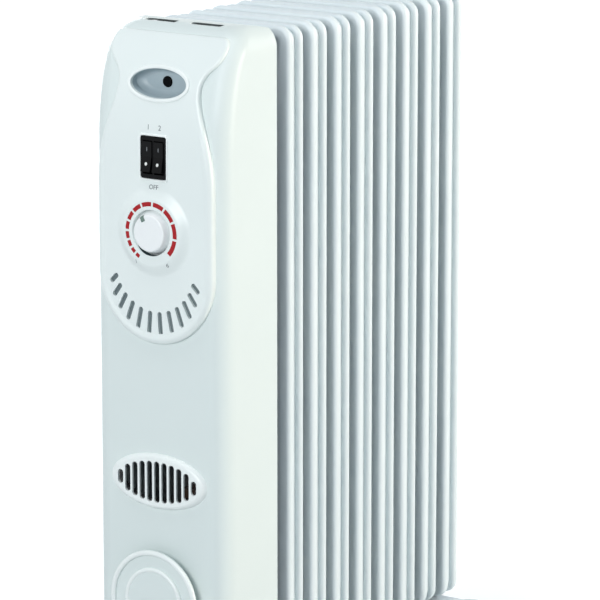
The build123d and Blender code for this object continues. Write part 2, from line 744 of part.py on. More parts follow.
def switch_body():
    """Switch housing: flange in the panel's seat, body behind, two rocker bays, pivot holes and rear tabs."""
    seat = Y_PANEL + PANEL_WALL / 2
    front = seat - SWITCH_FLANGE
    flange = prism(RectangleRounded(SWITCH_WIDTH, SWITCH_HEIGHT, SWITCH_RIM), front, seat, z=Z_SWITCH)
    outline = Rectangle(SWITCH_WIDTH - SWITCH_RIM, SWITCH_HEIGHT - SWITCH_RIM)
    body = flange + prism(outline, seat, seat + SWITCH_DEPTH, z=Z_SWITCH)
    half = ROCKER_BAY_HEIGHT / 2
    for left, right in ((-BAY_WIDTH / 2, -ROCKER_DIVIDER / 2), (ROCKER_DIVIDER / 2, BAY_WIDTH / 2)):
        body -= box(left, right, front - OVERRUN, front + ROCKER_BAY_DEPTH, Z_SWITCH - half, Z_SWITCH + half)
    reach = BAY_WIDTH / 2 - ROCKER_SIDE_GAP + ROCKER_PIN_LENGTH + RUNNING_GAP
    body -= pin(ROCKER_PIN_RADIUS + RUNNING_GAP, -reach, reach, rocker_pivot(), Z_SWITCH)
    back = seat + SWITCH_DEPTH
    for x in (-BAY_WIDTH / 4, BAY_WIDTH / 4):
        for z in (-half / 2, half / 2):
            level = Z_SWITCH + z
            body += box(
                x - TAB_WIDTH / 2, x + TAB_WIDTH / 2, back, back + TAB_LENGTH, level, level + TAB_THICK
            )
    return body


def rocker(side):
    """One rocker, resting tilted, with a pin at each end; side is -1 for the left one, 1 for the right."""
    inner = ROCKER_DIVIDER / 2 + ROCKER_SIDE_GAP
    outer = BAY_WIDTH / 2 - ROCKER_SIDE_GAP
    crest = ROCKER_PIVOT_DEPTH + ROCKER_PROUD
    outline = Polyline(
        (-crest, -ROCKER_HALF),
        (ROCKER_DISH - crest, 0),
        (-crest, ROCKER_HALF),
        (ROCKER_DISH - crest + ROCKER_PROUD, ROCKER_HALF),
        (ROCKER_PIN_RADIUS, ROCKER_BACK_HALF / 2),
        (ROCKER_PIN_RADIUS * 2, 0),
        (ROCKER_PIN_RADIUS, -ROCKER_BACK_HALF / 2),
        (ROCKER_DISH - crest + ROCKER_PROUD, -ROCKER_HALF),
        close=True,
    )
    paddle = extrude(Plane.YZ.offset(inner) * make_face(outline), outer - inner)
    paddle += pin(ROCKER_PIN_RADIUS, inner - ROCKER_PIN_LENGTH, outer + ROCKER_PIN_LENGTH)
    if side < 0:
        paddle = mirror(paddle, Plane.YZ)
    return Pos(0, rocker_pivot(), Z_SWITCH) * Rot(-ROCKER_TILT, 0, 0) * paddle


def thermostat_body():
    """Thermostat behind the panel: case, threaded bush through the panel, blind bore for the shaft, tabs."""
    inner = Y_PANEL + PANEL_WALL
    case = prism(RectangleRounded(STAT_WIDTH, STAT_HEIGHT, SWITCH_RIM), inner, inner + STAT_DEPTH, z=Z_KNOB)
    body = case + rod(BUSH_RADIUS, Y_PANEL - BUSH_LENGTH, inner, z=Z_KNOB)
    body -= rod(SHAFT_RADIUS + RUNNING_GAP, Y_PANEL - BUSH_LENGTH, Y_PANEL + SHAFT_DEPTH, z=Z_KNOB)
    back = inner + STAT_DEPTH
    for x in (-STAT_WIDTH / 4, STAT_WIDTH / 4):
        body += box(x - TAB_WIDTH / 2, x + TAB_WIDTH / 2, back, back + TAB_LENGTH, Z_KNOB, Z_KNOB + TAB_THICK)
    return body


def bush_nut():
    """Hexagon nut on the thermostat's bush, under the knob."""
    ring = RegularPolygon(BUSH_NUT_RADIUS, 6) - Circle(BUSH_RADIUS + THREAD_GAP)
    return prism(ring, Y_PANEL - BUSH_NUT_HEIGHT, Y_PANEL, z=Z_KNOB)


def thermostat_shaft():
    """Spindle from the thermostat's bore to the knob's socket."""
    front = Y_PANEL - KNOB_LIFT - KNOB_HEIGHT + KNOB_SOCKET_FLOOR
    return rod(SHAFT_RADIUS, front, Y_PANEL + SHAFT_DEPTH - SHAFT_END_GAP, z=Z_KNOB)


def thermostat_knob():
    """Low tapered knob, hollow behind, with a socket on the spindle and a pointer notch at its edge."""
    y = Y_PANEL - KNOB_LIFT
    shell = turned(((0, 0), (KNOB_RADIUS, 0), (KNOB_FACE_RADIUS, KNOB_HEIGHT), (0, KNOB_HEIGHT)), y, z=Z_KNOB)
    shell = fillet(shell.edges().group_by(Axis.Y)[0], KNOB_ROUND)
    depth = KNOB_HEIGHT - KNOB_WALL
    inside = ((0, -OVERRUN), (KNOB_RADIUS - KNOB_WALL, -OVERRUN), (KNOB_RADIUS - KNOB_WALL, 0))
    inside += ((KNOB_FACE_RADIUS - KNOB_WALL, depth), (0, depth))
    shell -= turned(inside, y, z=Z_KNOB)
    hub_start = Y_PANEL - BUSH_LENGTH - KNOB_LIFT
    shell += rod(KNOB_HUB_RADIUS, y - depth - KNOB_WALL / 2, hub_start, z=Z_KNOB)
    face = y - KNOB_HEIGHT
    shell -= rod(SHAFT_RADIUS + RUNNING_GAP, face + KNOB_SOCKET_FLOOR - RUNNING_GAP, y, z=Z_KNOB)
    middle = KNOB_FACE_RADIUS - KNOB_MARK_INSET + KNOB_MARK_LENGTH / 2
    mark = Pos(0, middle) * Rectangle(KNOB_MARK_WIDTH, KNOB_MARK_LENGTH)
    return shell - prism(Rot(0, 0, KNOB_REST) * mark, face - OVERRUN, face + KNOB_MARK_DEPTH, z=Z_KNOB)


def grille_dome():
    """Raised oval of the grille."""
    sections = []
    for share, level in GRILLE_CURVE:
        width = GRILLE_WIDTH + share * (GRILLE_TOP_WIDTH - GRILLE_WIDTH)
        height = GRILLE_HEIGHT + share * (GRILLE_TOP_HEIGHT - GRILLE_HEIGHT)
        plane = facing(Y_FACE - level * GRILLE_PROUD, z=Z_GRILLE)
        sections.append(plane * Ellipse(width / 2, height / 2))
    return loft(sections)


def vent_grille():
    """Raised oval grille with upright slots and a spigot in the cover's opening."""
    outer = Ellipse(GRILLE_TOP_WIDTH / 2 - PLATE_GAP, GRILLE_TOP_HEIGHT / 2 - PLATE_GAP)
    inner = Ellipse(GRILLE_TOP_WIDTH / 2 - GRILLE_WALL, GRILLE_TOP_HEIGHT / 2 - GRILLE_WALL)
    grille = grille_dome() + prism(outer, Y_FACE, Y_FACE + GRILLE_SPIGOT, z=Z_GRILLE)
    grille -= prism(inner, Y_FACE - GRILLE_PROUD + GRILLE_WALL, Y_FACE + GRILLE_SPIGOT, z=Z_GRILLE)
    for index in range(GRILLE_SLOT_COUNT):
        x = (index - (GRILLE_SLOT_COUNT - 1) / 2) * GRILLE_SLOT_PITCH
        height = GRILLE_SLOT_HEIGHT * math.sqrt(1 - (x / GRILLE_SLOT_REACH) ** 2)
        slot = SlotOverall(height, GRILLE_SLOT_WIDTH, rotation=90)
        grille -= prism(slot, Y_FACE - GRILLE_PROUD - OVERRUN, Y_FACE, x, Z_GRILLE)
    return grille


def cord_spool():
    """Cord-storage spool: drum on the cover, wide flange with a raised lip and a domed middle."""
    front = SPOOL_GROOVE + SPOOL_FLANGE
    floor = front - SPOOL_LIP_HEIGHT
    points = (
        (SCREW_RADIUS + SCREW_GAP, 0),
        (SPOOL_DRUM_RADIUS, 0),
        (SPOOL_DRUM_RADIUS, SPOOL_GROOVE),
        (SPOOL_RADIUS - SPOOL_LIP_HEIGHT, SPOOL_GROOVE),
        (SPOOL_RADIUS, SPOOL_GROOVE + SPOOL_LIP_HEIGHT),
        (SPOOL_RADIUS, front - SPOOL_LIP_HEIGHT / 2),
        (SPOOL_RADIUS - SPOOL_LIP_HEIGHT / 2, front),
        (SPOOL_RADIUS - SPOOL_LIP, front),
        (SPOOL_RADIUS - SPOOL_LIP - SPOOL_LIP_HEIGHT, floor),
        (SPOOL_DOME_RADIUS + SPOOL_LIP_HEIGHT, floor),
        (SPOOL_DOME_RADIUS, front),
        (SPOOL_CROWN_RADIUS, floor + SPOOL_CROWN_HEIGHT),
        (0, floor + SPOOL_DOME_HEIGHT),
        (0, SPOOL_GROOVE),
        (SCREW_RADIUS + SCREW_GAP, SPOOL_GROOVE),
    )
    spool = turned(points, Y_FACE, z=Z_SPOOL)
    hollow = rod(SPOOL_DRUM_RADIUS - SPOOL_WALL, Y_FACE - SPOOL_GROOVE + SPOOL_WALL, Y_FACE, z=Z_SPOOL)
    hollow -= rod(SCREW_HEAD_RADIUS + SPOOL_WALL, Y_FACE - SPOOL_GROOVE, Y_FACE, z=Z_SPOOL)
    return spool - hollow


def back_plate():
    """Steel plate that closes the housing's back, with holes for the stud, the neck and the screws."""
    low = Z_HOUSING + BOTTOM_THICK + 2 * PLATE_GAP
    high = Z_TOP - ROOF_FALL - COVER_WALL - PLATE_GAP
    corner = HOUSING_SHOULDER - ROOF_FALL - COVER_WALL - PLATE_GAP
    outline = Pos(0, (high + low) / 2) * RectangleRounded(2 * PLATE_HALF, high - low, corner)
    plate = prism(outline, Y_PLATE, Y_REAR)
    plate -= rod(STUD_RADIUS + THREAD_GAP, Y_PLATE, Y_REAR, z=Z_MID + HUB_RISE)
    plate -= rod(NECK_RADIUS + THREAD_GAP, Y_PLATE, Y_REAR, z=Z_MID - HUB_RISE)
    for x, z in plate_screw_places():
        plate -= rod(SCREW_RADIUS + SCREW_GAP, Y_PLATE, Y_REAR, x, z)
    return plate


def bottom_plate():
    """Plate that closes the housing's underside, with the hole for the cord inlet."""
    inset = COVER_WALL + PLATE_GAP
    half = HOUSING_WIDTH / 2 - inset
    section = level_section(half, Y_FACE + inset, Z_HOUSING, Y_PLATE, HOUSING_EDGE - inset)
    plate = Pos(0, 0, PLATE_GAP) * extrude(section, BOTTOM_THICK)
    high = Z_HOUSING + 2 * BOTTOM_THICK
    return plate - post(INLET_BORE + INLET_WALL, Z_HOUSING, high, INLET_OFFSET, inlet_y())


def inlet_y():
    """Y of the cord inlet, halfway between the cover's face and its back."""
    return Y_FACE + HOUSING_DEPTH / 2


def cord_inlet():
    """Bush in the bottom plate through which a supply cord would enter."""
    low = Z_HOUSING + PLATE_GAP
    y = inlet_y()
    under = low - INLET_FLANGE
    bush = post(INLET_BORE + INLET_WALL - SPIGOT_GAP, under, under + INLET_LENGTH, INLET_OFFSET, y)
    bush += post(INLET_BORE + INLET_WALL + INLET_FLANGE, under, low, INLET_OFFSET, y)
    return bush - post(INLET_BORE, under, low + INLET_LENGTH, INLET_OFFSET, y)


def terminal_block():
    """Terminal block on the back plate, with one clamp screw well and one wire hole per way."""
    z = Z_HOUSING + BLOCK_RISE
    front = Y_PLATE - BLOCK_DEPTH
    block = prism(Rectangle(BLOCK_WIDTH, BLOCK_HEIGHT), front, Y_PLATE, z=z)
    for way in range(BLOCK_WAYS):
        x = (way - (BLOCK_WAYS - 1) / 2) * BLOCK_WIDTH / BLOCK_WAYS
        block -= rod(BLOCK_SCREW_RADIUS, front, front + BLOCK_DEPTH / 2, x, z)
        low = z - BLOCK_HEIGHT / 2
        block -= post(BLOCK_SCREW_RADIUS, low, low + BLOCK_HEIGHT, x, Y_PLATE - BLOCK_DEPTH / 3)
    return block


def thermal_cutout():
    """Round thermal cut-out on a strap on the back plate, with two tabs."""
    z = Z_HOUSING + CUTOUT_RISE
    strap = SlotOverall(CUTOUT_STRAP, CUTOUT_RADIUS)
    body = prism(strap, Y_PLATE - PLATE_THICK, Y_PLATE, z=z)
    front = Y_PLATE - PLATE_THICK - CUTOUT_HEIGHT
    body += rod(CUTOUT_RADIUS, front, Y_PLATE, z=z)
    for x in (-CUTOUT_RADIUS / 2, CUTOUT_RADIUS / 2):
        body += box(x, x + TAB_THICK, front - TAB_LENGTH, front, z - TAB_WIDTH / 2, z + TAB_WIDTH / 2)
    return body


def screw(y, x, z, length):
    """Pan-head screw that runs forward, with its head's seat at y."""
    shank = rod(SCREW_RADIUS, y - length, y, x, z)
    cap = rod(SCREW_HEAD_RADIUS, y, y + SCREW_HEAD_HEIGHT, x, z)
    return fillet(cap.edges().group_by(Axis.Y)[-1], SCREW_HEAD_HEIGHT / 2) + shank


def plate_screws():
    """Screws through the back plate into the cover."""
    return Compound(children=[screw(Y_REAR, x, z, SCREW_LENGTH) for x, z in plate_screw_places()])


def panel_screws():
    """Screws from inside the cover into the control panel and the spool."""
    places = list(panel_screw_places()) + [(0, Z_SPOOL)]
    return Compound(children=[screw(Y_FACE + COVER_WALL, x, z, PANEL_SCREW_LENGTH) for x, z in places])


def foot_outline(inset):
    """Foot seen from above, drawn in by inset."""
    return SlotOverall(2 * CASTOR_SPREAD + FOOT_DEPTH - 2 * inset, FOOT_DEPTH - 2 * inset)


def foot(y):
    """Foot across two fins: hollow bar, a domed socket over each castor stem, bosses for the U-bolt."""
    bar = extrude(Plane(origin=(0, 0, Z_FOOT)) * foot_outline(0), FOOT_THICK)
    bar = fillet(bar.edges().group_by(Axis.Z)[-1], FOOT_ROUND)
    bar -= extrude(Plane(origin=(0, 0, Z_FOOT)) * foot_outline(FOOT_WALL), FOOT_THICK - FOOT_WALL)
    for x in (-CASTOR_SPREAD, CASTOR_SPREAD):
        bar += post(SOCKET_RADIUS, Z_FOOT, Z_FIN - FOOT_WALL / 2, x)
        bar += Pos(x, 0, Z_FIN) * socket_dome()
        bar -= post(STEM_RADIUS + RUNNING_GAP, Z_FOOT, Z_THRUST + STEM_LENGTH + SWIVEL_GAP, x)
    for x in (-BOLT_SPREAD, BOLT_SPREAD):
        bar += post(BOLT_RADIUS + BOLT_BOSS_WALL, Z_FOOT, Z_FIN - FOOT_WALL / 2, x)
        bar -= post(BOLT_RADIUS + BOLT_HOLE_GAP, Z_FOOT - OVERRUN, Z_FIN + OVERRUN, x)
    return Pos(0, y, 0) * bar


def socket_dome():
    """Low dome over a castor socket, with its foot at z = 0."""
    dome = extrude(Plane(origin=(0, 0, -FOOT_WALL / 2)) * Circle(FOOT_DOME_RADIUS), FOOT_WALL / 2 + FOOT_DOME)
    return fillet(dome.edges().group_by(Axis.Z)[-1], FOOT_DOME_ROUND)


def u_bolt(y):
    """U-bolt over the lower hub collar, with its legs down through the foot."""
    z = Z_MID - HUB_RISE
    end = Z_FOOT - BOLT_TAIL
    path = Line((-BOLT_SPREAD, end), (-BOLT_SPREAD, z))
    path += ThreePointArc((-BOLT_SPREAD, z), (0, z + BOLT_SPREAD), (BOLT_SPREAD, z))
    path += Line((BOLT_SPREAD, z), (BOLT_SPREAD, end))
    return sweep(Plane(origin=(-BOLT_SPREAD, y, end)) * Circle(BOLT_RADIUS), path=facing(y) * path)


def wing_nuts(y):
    """Wing nuts under a foot, one on each leg of its U-bolt."""
    nuts = []
    for x in (-BOLT_SPREAD, BOLT_SPREAD):
        low = Z_FOOT - WING_HUB_HEIGHT
        nut = post(WING_HUB_RADIUS, low, Z_FOOT, x, y)
        wings = SlotOverall(2 * WING_REACH, WING_HEIGHT)
        blade = extrude(facing(y + WING_THICK / 2, x, Z_FOOT - WING_HEIGHT / 2) * wings, WING_THICK)
        nut += blade
        nuts.append(nut - post(BOLT_RADIUS + THREAD_GAP, low - OVERRUN - WING_HEIGHT, Z_FOOT, x, y))
    return Compound(children=nuts)


def castor_body(x, y):
    """Castor frame at rest, wheels ahead of the stem: hood, web with the axle's eye, boss and stem."""
    half = CASTOR_WEB / 2 + 2 * WHEEL_SIDE_GAP + WHEEL_WIDTH + HOOD_REACH
    inside = pin(HOOD_RADIUS - HOOD_WALL, -half, half, -CASTOR_TRAIL, WHEEL_RADIUS)
    boss = post(STEM_BOSS_RADIUS, WHEEL_RADIUS, Z_THRUST)
    hood = pin(HOOD_RADIUS, -half, half, -CASTOR_TRAIL, WHEEL_RADIUS)
    below = box(-half, half, -2 * HOOD_RADIUS, 2 * HOOD_RADIUS, -HOOD_RADIUS, WHEEL_RADIUS)
    hood -= below
    shell = hood + boss - inside
    web = pin(HOOD_RADIUS - HOOD_WALL / 2, -CASTOR_WEB / 2, CASTOR_WEB / 2, -CASTOR_TRAIL, WHEEL_RADIUS)
    web -= below
    web += pin(CASTOR_EYE_RADIUS, -CASTOR_WEB / 2, CASTOR_WEB / 2, -CASTOR_TRAIL, WHEEL_RADIUS)
    body = shell + web + post(STEM_RADIUS, Z_THRUST, Z_THRUST + STEM_LENGTH)
    body -= pin(AXLE_RADIUS + RUNNING_GAP, -half, half, -CASTOR_TRAIL, WHEEL_RADIUS)
    return Pos(x, y, 0) * body


def castor_wheels(x, y):
    """Both wheels of a castor, dished outside, with a bore for the axle."""
    inner = CASTOR_WEB / 2 + WHEEL_SIDE_GAP
    outer = inner + WHEEL_WIDTH
    wheel = pin(WHEEL_RADIUS, inner, outer) - pin(AXLE_RADIUS + RUNNING_GAP, 0, outer)
    rims = wheel.edges().filter_by(GeomType.CIRCLE)
    ends = rims.filter_by(lambda edge: abs(edge.radius - WHEEL_RADIUS) < RUNNING_GAP)
    wheel = fillet(ends, WHEEL_ROUND)
    ring = pin(WHEEL_DISH_RADIUS, outer - WHEEL_DISH, outer) - pin(WHEEL_HUB_RADIUS, 0, outer)
    wheel -= ring
    pair = [wheel, mirror(wheel, Plane.YZ)]
    return Compound(children=[Pos(x, y - CASTOR_TRAIL, WHEEL_RADIUS) * one for one in pair])


def castor_axle(x, y):
    """Axle through both wheels and the castor's web, with a head at each end."""
    reach = CASTOR_WEB / 2 + 2 * WHEEL_SIDE_GAP + WHEEL_WIDTH
    axle = pin(AXLE_RADIUS, -reach, reach)
    axle += pin(AXLE_HEAD_RADIUS, -reach - AXLE_HEAD, -reach)
    axle += pin(AXLE_HEAD_RADIUS, reach, reach + AXLE_HEAD)
    return Pos(x, y - CASTOR_TRAIL, WHEEL_RADIUS) * axle


def build():
    """All nodes by name."""
    nodes = {}
    one_fin = fin()
    for index in range(FIN_COUNT):
        y = Y_STACK + RIM_DEPTH / 2 + index * FIN_PITCH
        nodes[f"fin_{index + 1}"] = Pos(0, y, Z_MID) * one_fin
    nodes["upper_hub_collars"] = hub_collars(Z_MID + HUB_RISE)
    nodes["lower_hub_collars"] = hub_collars(Z_MID - HUB_RISE)
    nodes["rear_hub_caps"] = rear_caps()
    nodes["oil_filler_plug"] = filler_plug()
    nodes["heating_element"] = heating_element()
    nodes["filler_plug_nut"] = plate_nut(STUD_RADIUS, Z_MID + HUB_RISE)
    nodes["element_lock_nut"] = plate_nut(NECK_RADIUS, Z_MID - HUB_RISE)
    nodes["back_plate"] = back_plate()
    nodes["front_cover"] = front_cover()
    nodes["control_panel"] = control_panel()
    nodes["indicator_dish"] = indicator_dish()
    nodes["pilot_lamp"] = pilot_lamp()
    nodes["switch_body"] = switch_body()
    nodes["rocker_left"] = rocker(-1)
    nodes["rocker_right"] = rocker(1)
    nodes["thermostat_body"] = thermostat_body()
    nodes["thermostat_nut"] = bush_nut()
    nodes["thermostat_shaft"] = thermostat_shaft()
    nodes["thermostat_knob"] = thermostat_knob()
    nodes["vent_grille"] = vent_grille()
    nodes["cord_spool"] = cord_spool()
    nodes["bottom_plate"] = bottom_plate()
    nodes["cord_inlet"] = cord_inlet()
    nodes["terminal_block"] = terminal_block()
    nodes["thermal_cutout"] = thermal_cutout()
    nodes["plate_screws"] = plate_screws()
    nodes["panel_screws"] = panel_screws()
    for end, y in (("front", gap_middle(1)), ("rear", gap_middle(FIN_COUNT - 1))):
        nodes[f"foot_{end}"] = foot(y)
        nodes[f"u_bolt_{end}"] = u_bolt(y)
        nodes[f"wing_nuts_{end}"] = wing_nuts(y)
        for side, x in (("left", -CASTOR_SPREAD), ("right", CASTOR_SPREAD)):
            nodes[f"castor_body_{end}_{side}"] = castor_body(x, y)
            nodes[f"castor_wheels_{end}_{side}"] = castor_wheels(x, y)
            nodes[f"castor_axle_{end}_{side}"] = castor_axle(x, y)
    return nodes


def main():
    os.makedirs("parts", exist_ok=True)
    for name, node in build().items():
        export_step(node, f"parts/{name}.step")


main()
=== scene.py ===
"""Looks of an oil filled radiator heater.

White enamelled fins, a moulded control housing and feet on castors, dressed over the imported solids.
"""

import json
import math

import bmesh
import bpy
import numpy as np
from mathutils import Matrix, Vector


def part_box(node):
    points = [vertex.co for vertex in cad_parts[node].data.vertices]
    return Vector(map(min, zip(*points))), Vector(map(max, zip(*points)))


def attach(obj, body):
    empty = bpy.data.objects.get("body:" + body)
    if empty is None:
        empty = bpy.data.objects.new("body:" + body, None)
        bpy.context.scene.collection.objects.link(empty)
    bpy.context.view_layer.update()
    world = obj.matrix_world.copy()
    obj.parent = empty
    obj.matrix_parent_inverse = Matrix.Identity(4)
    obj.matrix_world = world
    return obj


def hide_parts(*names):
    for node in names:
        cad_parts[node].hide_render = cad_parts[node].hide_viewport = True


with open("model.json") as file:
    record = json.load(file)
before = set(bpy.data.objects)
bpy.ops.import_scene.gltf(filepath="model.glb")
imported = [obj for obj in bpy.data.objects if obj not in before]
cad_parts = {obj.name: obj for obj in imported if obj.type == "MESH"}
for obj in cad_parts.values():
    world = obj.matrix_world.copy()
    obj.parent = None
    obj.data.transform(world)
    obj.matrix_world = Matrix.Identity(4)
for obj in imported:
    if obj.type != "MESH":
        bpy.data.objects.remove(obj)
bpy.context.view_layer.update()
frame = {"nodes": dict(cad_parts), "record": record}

MM = 0.001
PER_METRE = 1000
nodes = frame["nodes"]


def millimetres(node):
    """Lowest and highest corner of a node at rest, in millimetres."""
    return np.array(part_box(node)) / MM


# Places of the solids, read from the frame, in millimetres
PANEL_Y = millimetres("control_panel")[0][1]
PANEL_FOOT_Z = millimetres("control_panel")[0][2]
KNOB_Z = millimetres("thermostat_knob").mean(axis=0)[2]
SWITCH_Z = millimetres("switch_body").mean(axis=0)[2]
DISH_Z = millimetres("indicator_dish").mean(axis=0)[2]
SPOOL_Z = millimetres("cord_spool").mean(axis=0)[2]
GRILLE_Z = millimetres("vent_grille").mean(axis=0)[2]

# Control panel: a round-ended tongue, a waist above it, and a front that falls back above BOW_Z
TONGUE_HALF = 62.0
TONGUE_Z = PANEL_FOOT_Z + TONGUE_HALF
WAIST_START_Z = DISH_Z - 90
WAIST_LENGTH = 73.0
WAIST_IN = 15.7
WAIST_BEND = 0.386
BOW_Z = SWITCH_Z + 4.5
BOW_DEPTH = 50.0
BOW_HEIGHT = 110.0
BOW_LIMIT = 0.999

# Dial disc: radii of its bore and its flat, the width of its slope, and points of the bore's rounded mouth
# as reach from the bore and drop from the top
DISC_TOP = 4.8
DISC_BORE = 20.5
DISC_FLAT = 28.5
DISC_SLOPE = 12.5
DISC_MOUTH = 0.7
DISC_MOUTH_POINTS = ((0.0, 0.6), (0.2, 0.15))
DISC_FACE_DROP = 0.02
DISC_SINK = 0.5

# Painted shadow under the knob, a dark crescent at the foot of the bore: its reach in degrees
# either side of the bottom, the angle whose cosine shrinks its ends, and its section
SHADOW_REACH = 58.0
SHADOW_END_TURN = 0.49 * np.pi
SHADOW_WALL = 0.75
SHADOW_CHAMFER = 0.4
SHADOW_SINK = 0.12
SHADOW_PROUD = 0.72
SHADOW_FOOT = 0.3
SHADOW_HEIGHT = 4.35
SHADOW_ROUND = 0.12

# Dial scale: printed bars, with angles in degrees clockwise from the bottom
SCALE_COUNT = 12
SCALE_RADIUS = 25.8
SCALE_START = 29.5
SCALE_GAP = 4.6
SCALE_SHORTEST = 9.0
SCALE_GROWTH = 23.0
SCALE_POWER = 1.25
SCALE_NARROWEST = 3.3
SCALE_WIDENING = 1.0
SCALE_PROUD = 0.16
SCALE_SINK = 0.1
SCALE_ROUND = 0.12

# Printed numbers and word: letter heights, places and half the thickness of the print
PRINT_HALF = 0.13
PRINT_CURVE_STEPS = 6
DIAL_NUMBER_SIZE = 5.2
DIAL_NUMBER_SPREAD = 17.0
DIAL_NUMBER_DROP = 27.5
SWITCH_NUMBER_SIZE = 6.4
SWITCH_WORD_SIZE = 5.8
SWITCH_PRINT_RISE = 26.4

# Painted shade in the fan's slots: a grey half disc behind the panel
BACKING_RADIUS = 51.0
BACKING_DROP = 3.0
BACKING_BEHIND = 2.6
BACKING_THICK = 0.9
BACKING_EASE = 0.1
BACKING_EDGE = 0.99

# Panel ridge: reach of its section from the panel's edge, and height out of the panel's front
RIDGE_TOP_Z = DISH_Z - 18
RIDGE_FADE = 55.0
RIDGE_SINK = 1.0
RIDGE_START = 1.0
RIDGE_CREST = 4.6
RIDGE_END = 9.5
RIDGE_HEIGHT = 0.85
RIDGE_START_HEIGHT = -0.8
RIDGE_END_HEIGHT = -0.12
RIDGE_UNDERSIDE = ((RIDGE_END, -0.7), (2.2, -1.4))

# Knob pointer: radius and height of its corners, along the floor of the notch and back over the knob's face
POINTER_SECTION = ((11.6, 8.4), (15.3, 8.2), (15.3, 5.7), (17.1, 5.7), (15.95, 8.74), (11.6, 8.74))
POINTER_ROUND = 0.3
POINTER_WIDTH = 4.2
POINTER_TURN = math.radians(27)

# Switch bezel: half sizes of its opening, and its section
BEZEL_HALF_WIDTH = 13.9
BEZEL_HALF_HEIGHT = 19.15
BEZEL_CORNER = 2.4
BEZEL_SINK = 0.7
BEZEL_PROUD = 1.0
BEZEL_TOP_WIDTH = 1.5
BEZEL_FOOT_WIDTH = 2.1
BEZEL_ROUND = 0.4

# Dish lip: half sizes of its ellipse, and the middle and half sizes of its section
LIP_HALF_WIDTH = 30.2
LIP_HALF_HEIGHT = 13.0
LIP_REACH = 1.5
LIP_HALF_REACH = 1.8
LIP_RISE = 0.2
LIP_HALF_RISE = 1.2

# Spool beads: height of their middle in front of the panel, and half their thickness
BEAD_FRONT = 5.6
BEAD_RISE = 1.8

# Grille strip: half sizes of its ellipse, and its section as reach outwards and depth behind the panel
STRIP_HALF_WIDTH = 41.0
STRIP_HALF_HEIGHT = 18.0
STRIP_REACH = 2.4
STRIP_SQUEEZE = 0.68
STRIP_FRONT = 3.1
STRIP_BACK = 8.8
STRIP_ROUND = 0.3

# Rockers: their pivot behind the switch's flange, and the hollow face of a paddle
SWITCH_SEAT = 1.25
SWITCH_FLANGE = 1.8
ROCKER_SPREAD = 6.15
ROCKER_TILT = math.radians(-7)
ROCKER_PIVOT_DEPTH = 4.0
ROCKER_PIVOT_Y = PANEL_Y + SWITCH_SEAT - SWITCH_FLANGE + ROCKER_PIVOT_DEPTH
ROCKER_FRONT = 6.6
ROCKER_DISH = 1.6
ROCKER_HALF = 13.4

# Marks on the rockers: half their thickness, the power that rounds them, and the latitude of their ends
MARK_HALF = 0.12
MARK_POWER = 0.25
MARK_LATITUDE = 1.5

# Meshes: metres, an angle, the digits that tell two places apart, twice the area of an empty triangle and
# the cosine of the angle at which a shading direction has strayed
MERGE_DISTANCE = 1e-7
SHARP_ANGLE = math.radians(42)
PLACE_DIGITS = 8
EMPTY_TRIANGLE = 2e-10
STRAY_COSINE = 0.8

# Outlines: the longest cut at a corner as a share of its shorter side, and the steps of a full round
CORNER_SHARE = 0.45
ROUND_STEPS = 144

# Camera, in metres, degrees and millimetres of film
CAMERA_PLACE = (2.0204, -2.9412, 1.1527)
CAMERA_TURN = 34.19
CAMERA_TILT = 12.637
CAMERA_SHIFT = 0.05
CAMERA_REACH = 100.0
LENS_MM = 236.9
FILM_MM = 36.0

# Room: metres, and shares of white
FLOOR_REACH = 40.0
GLOW_NEAR = 0.35
GLOW_FAR = 1.5
GLOW_AT_NEAR = 0.56
SKY_FILL = 0.20
WHITE = 1.0


def linear(hex_code):
    """Linear colour of an sRGB hex value.

    A channel c becomes c / 12.92 near black, and ((c + 0.055) / 1.055) ** 2.4 above.
    """
    srgb = np.array([int(hex_code[i : i + 2], 16) for i in (1, 3, 5)]) / 255
    curve = np.where(srgb > 0.04045, ((srgb + 0.055) / 1.055) ** 2.4, srgb / 12.92)
    return (*map(float, curve), 1.0)


def add(tree, kind, inputs=None, **settings):
    """Adds a node with its settings; an input gets a value, or a link where the value is an output."""
    made = tree.nodes.new(kind)
    for name, value in settings.items():
        setattr(made, name, value)
    for name, value in (inputs or {}).items():
        if isinstance(value, bpy.types.NodeSocket):
            tree.links.new(value, made.inputs[name])
        else:
            made.inputs[name].default_value = value
    return made


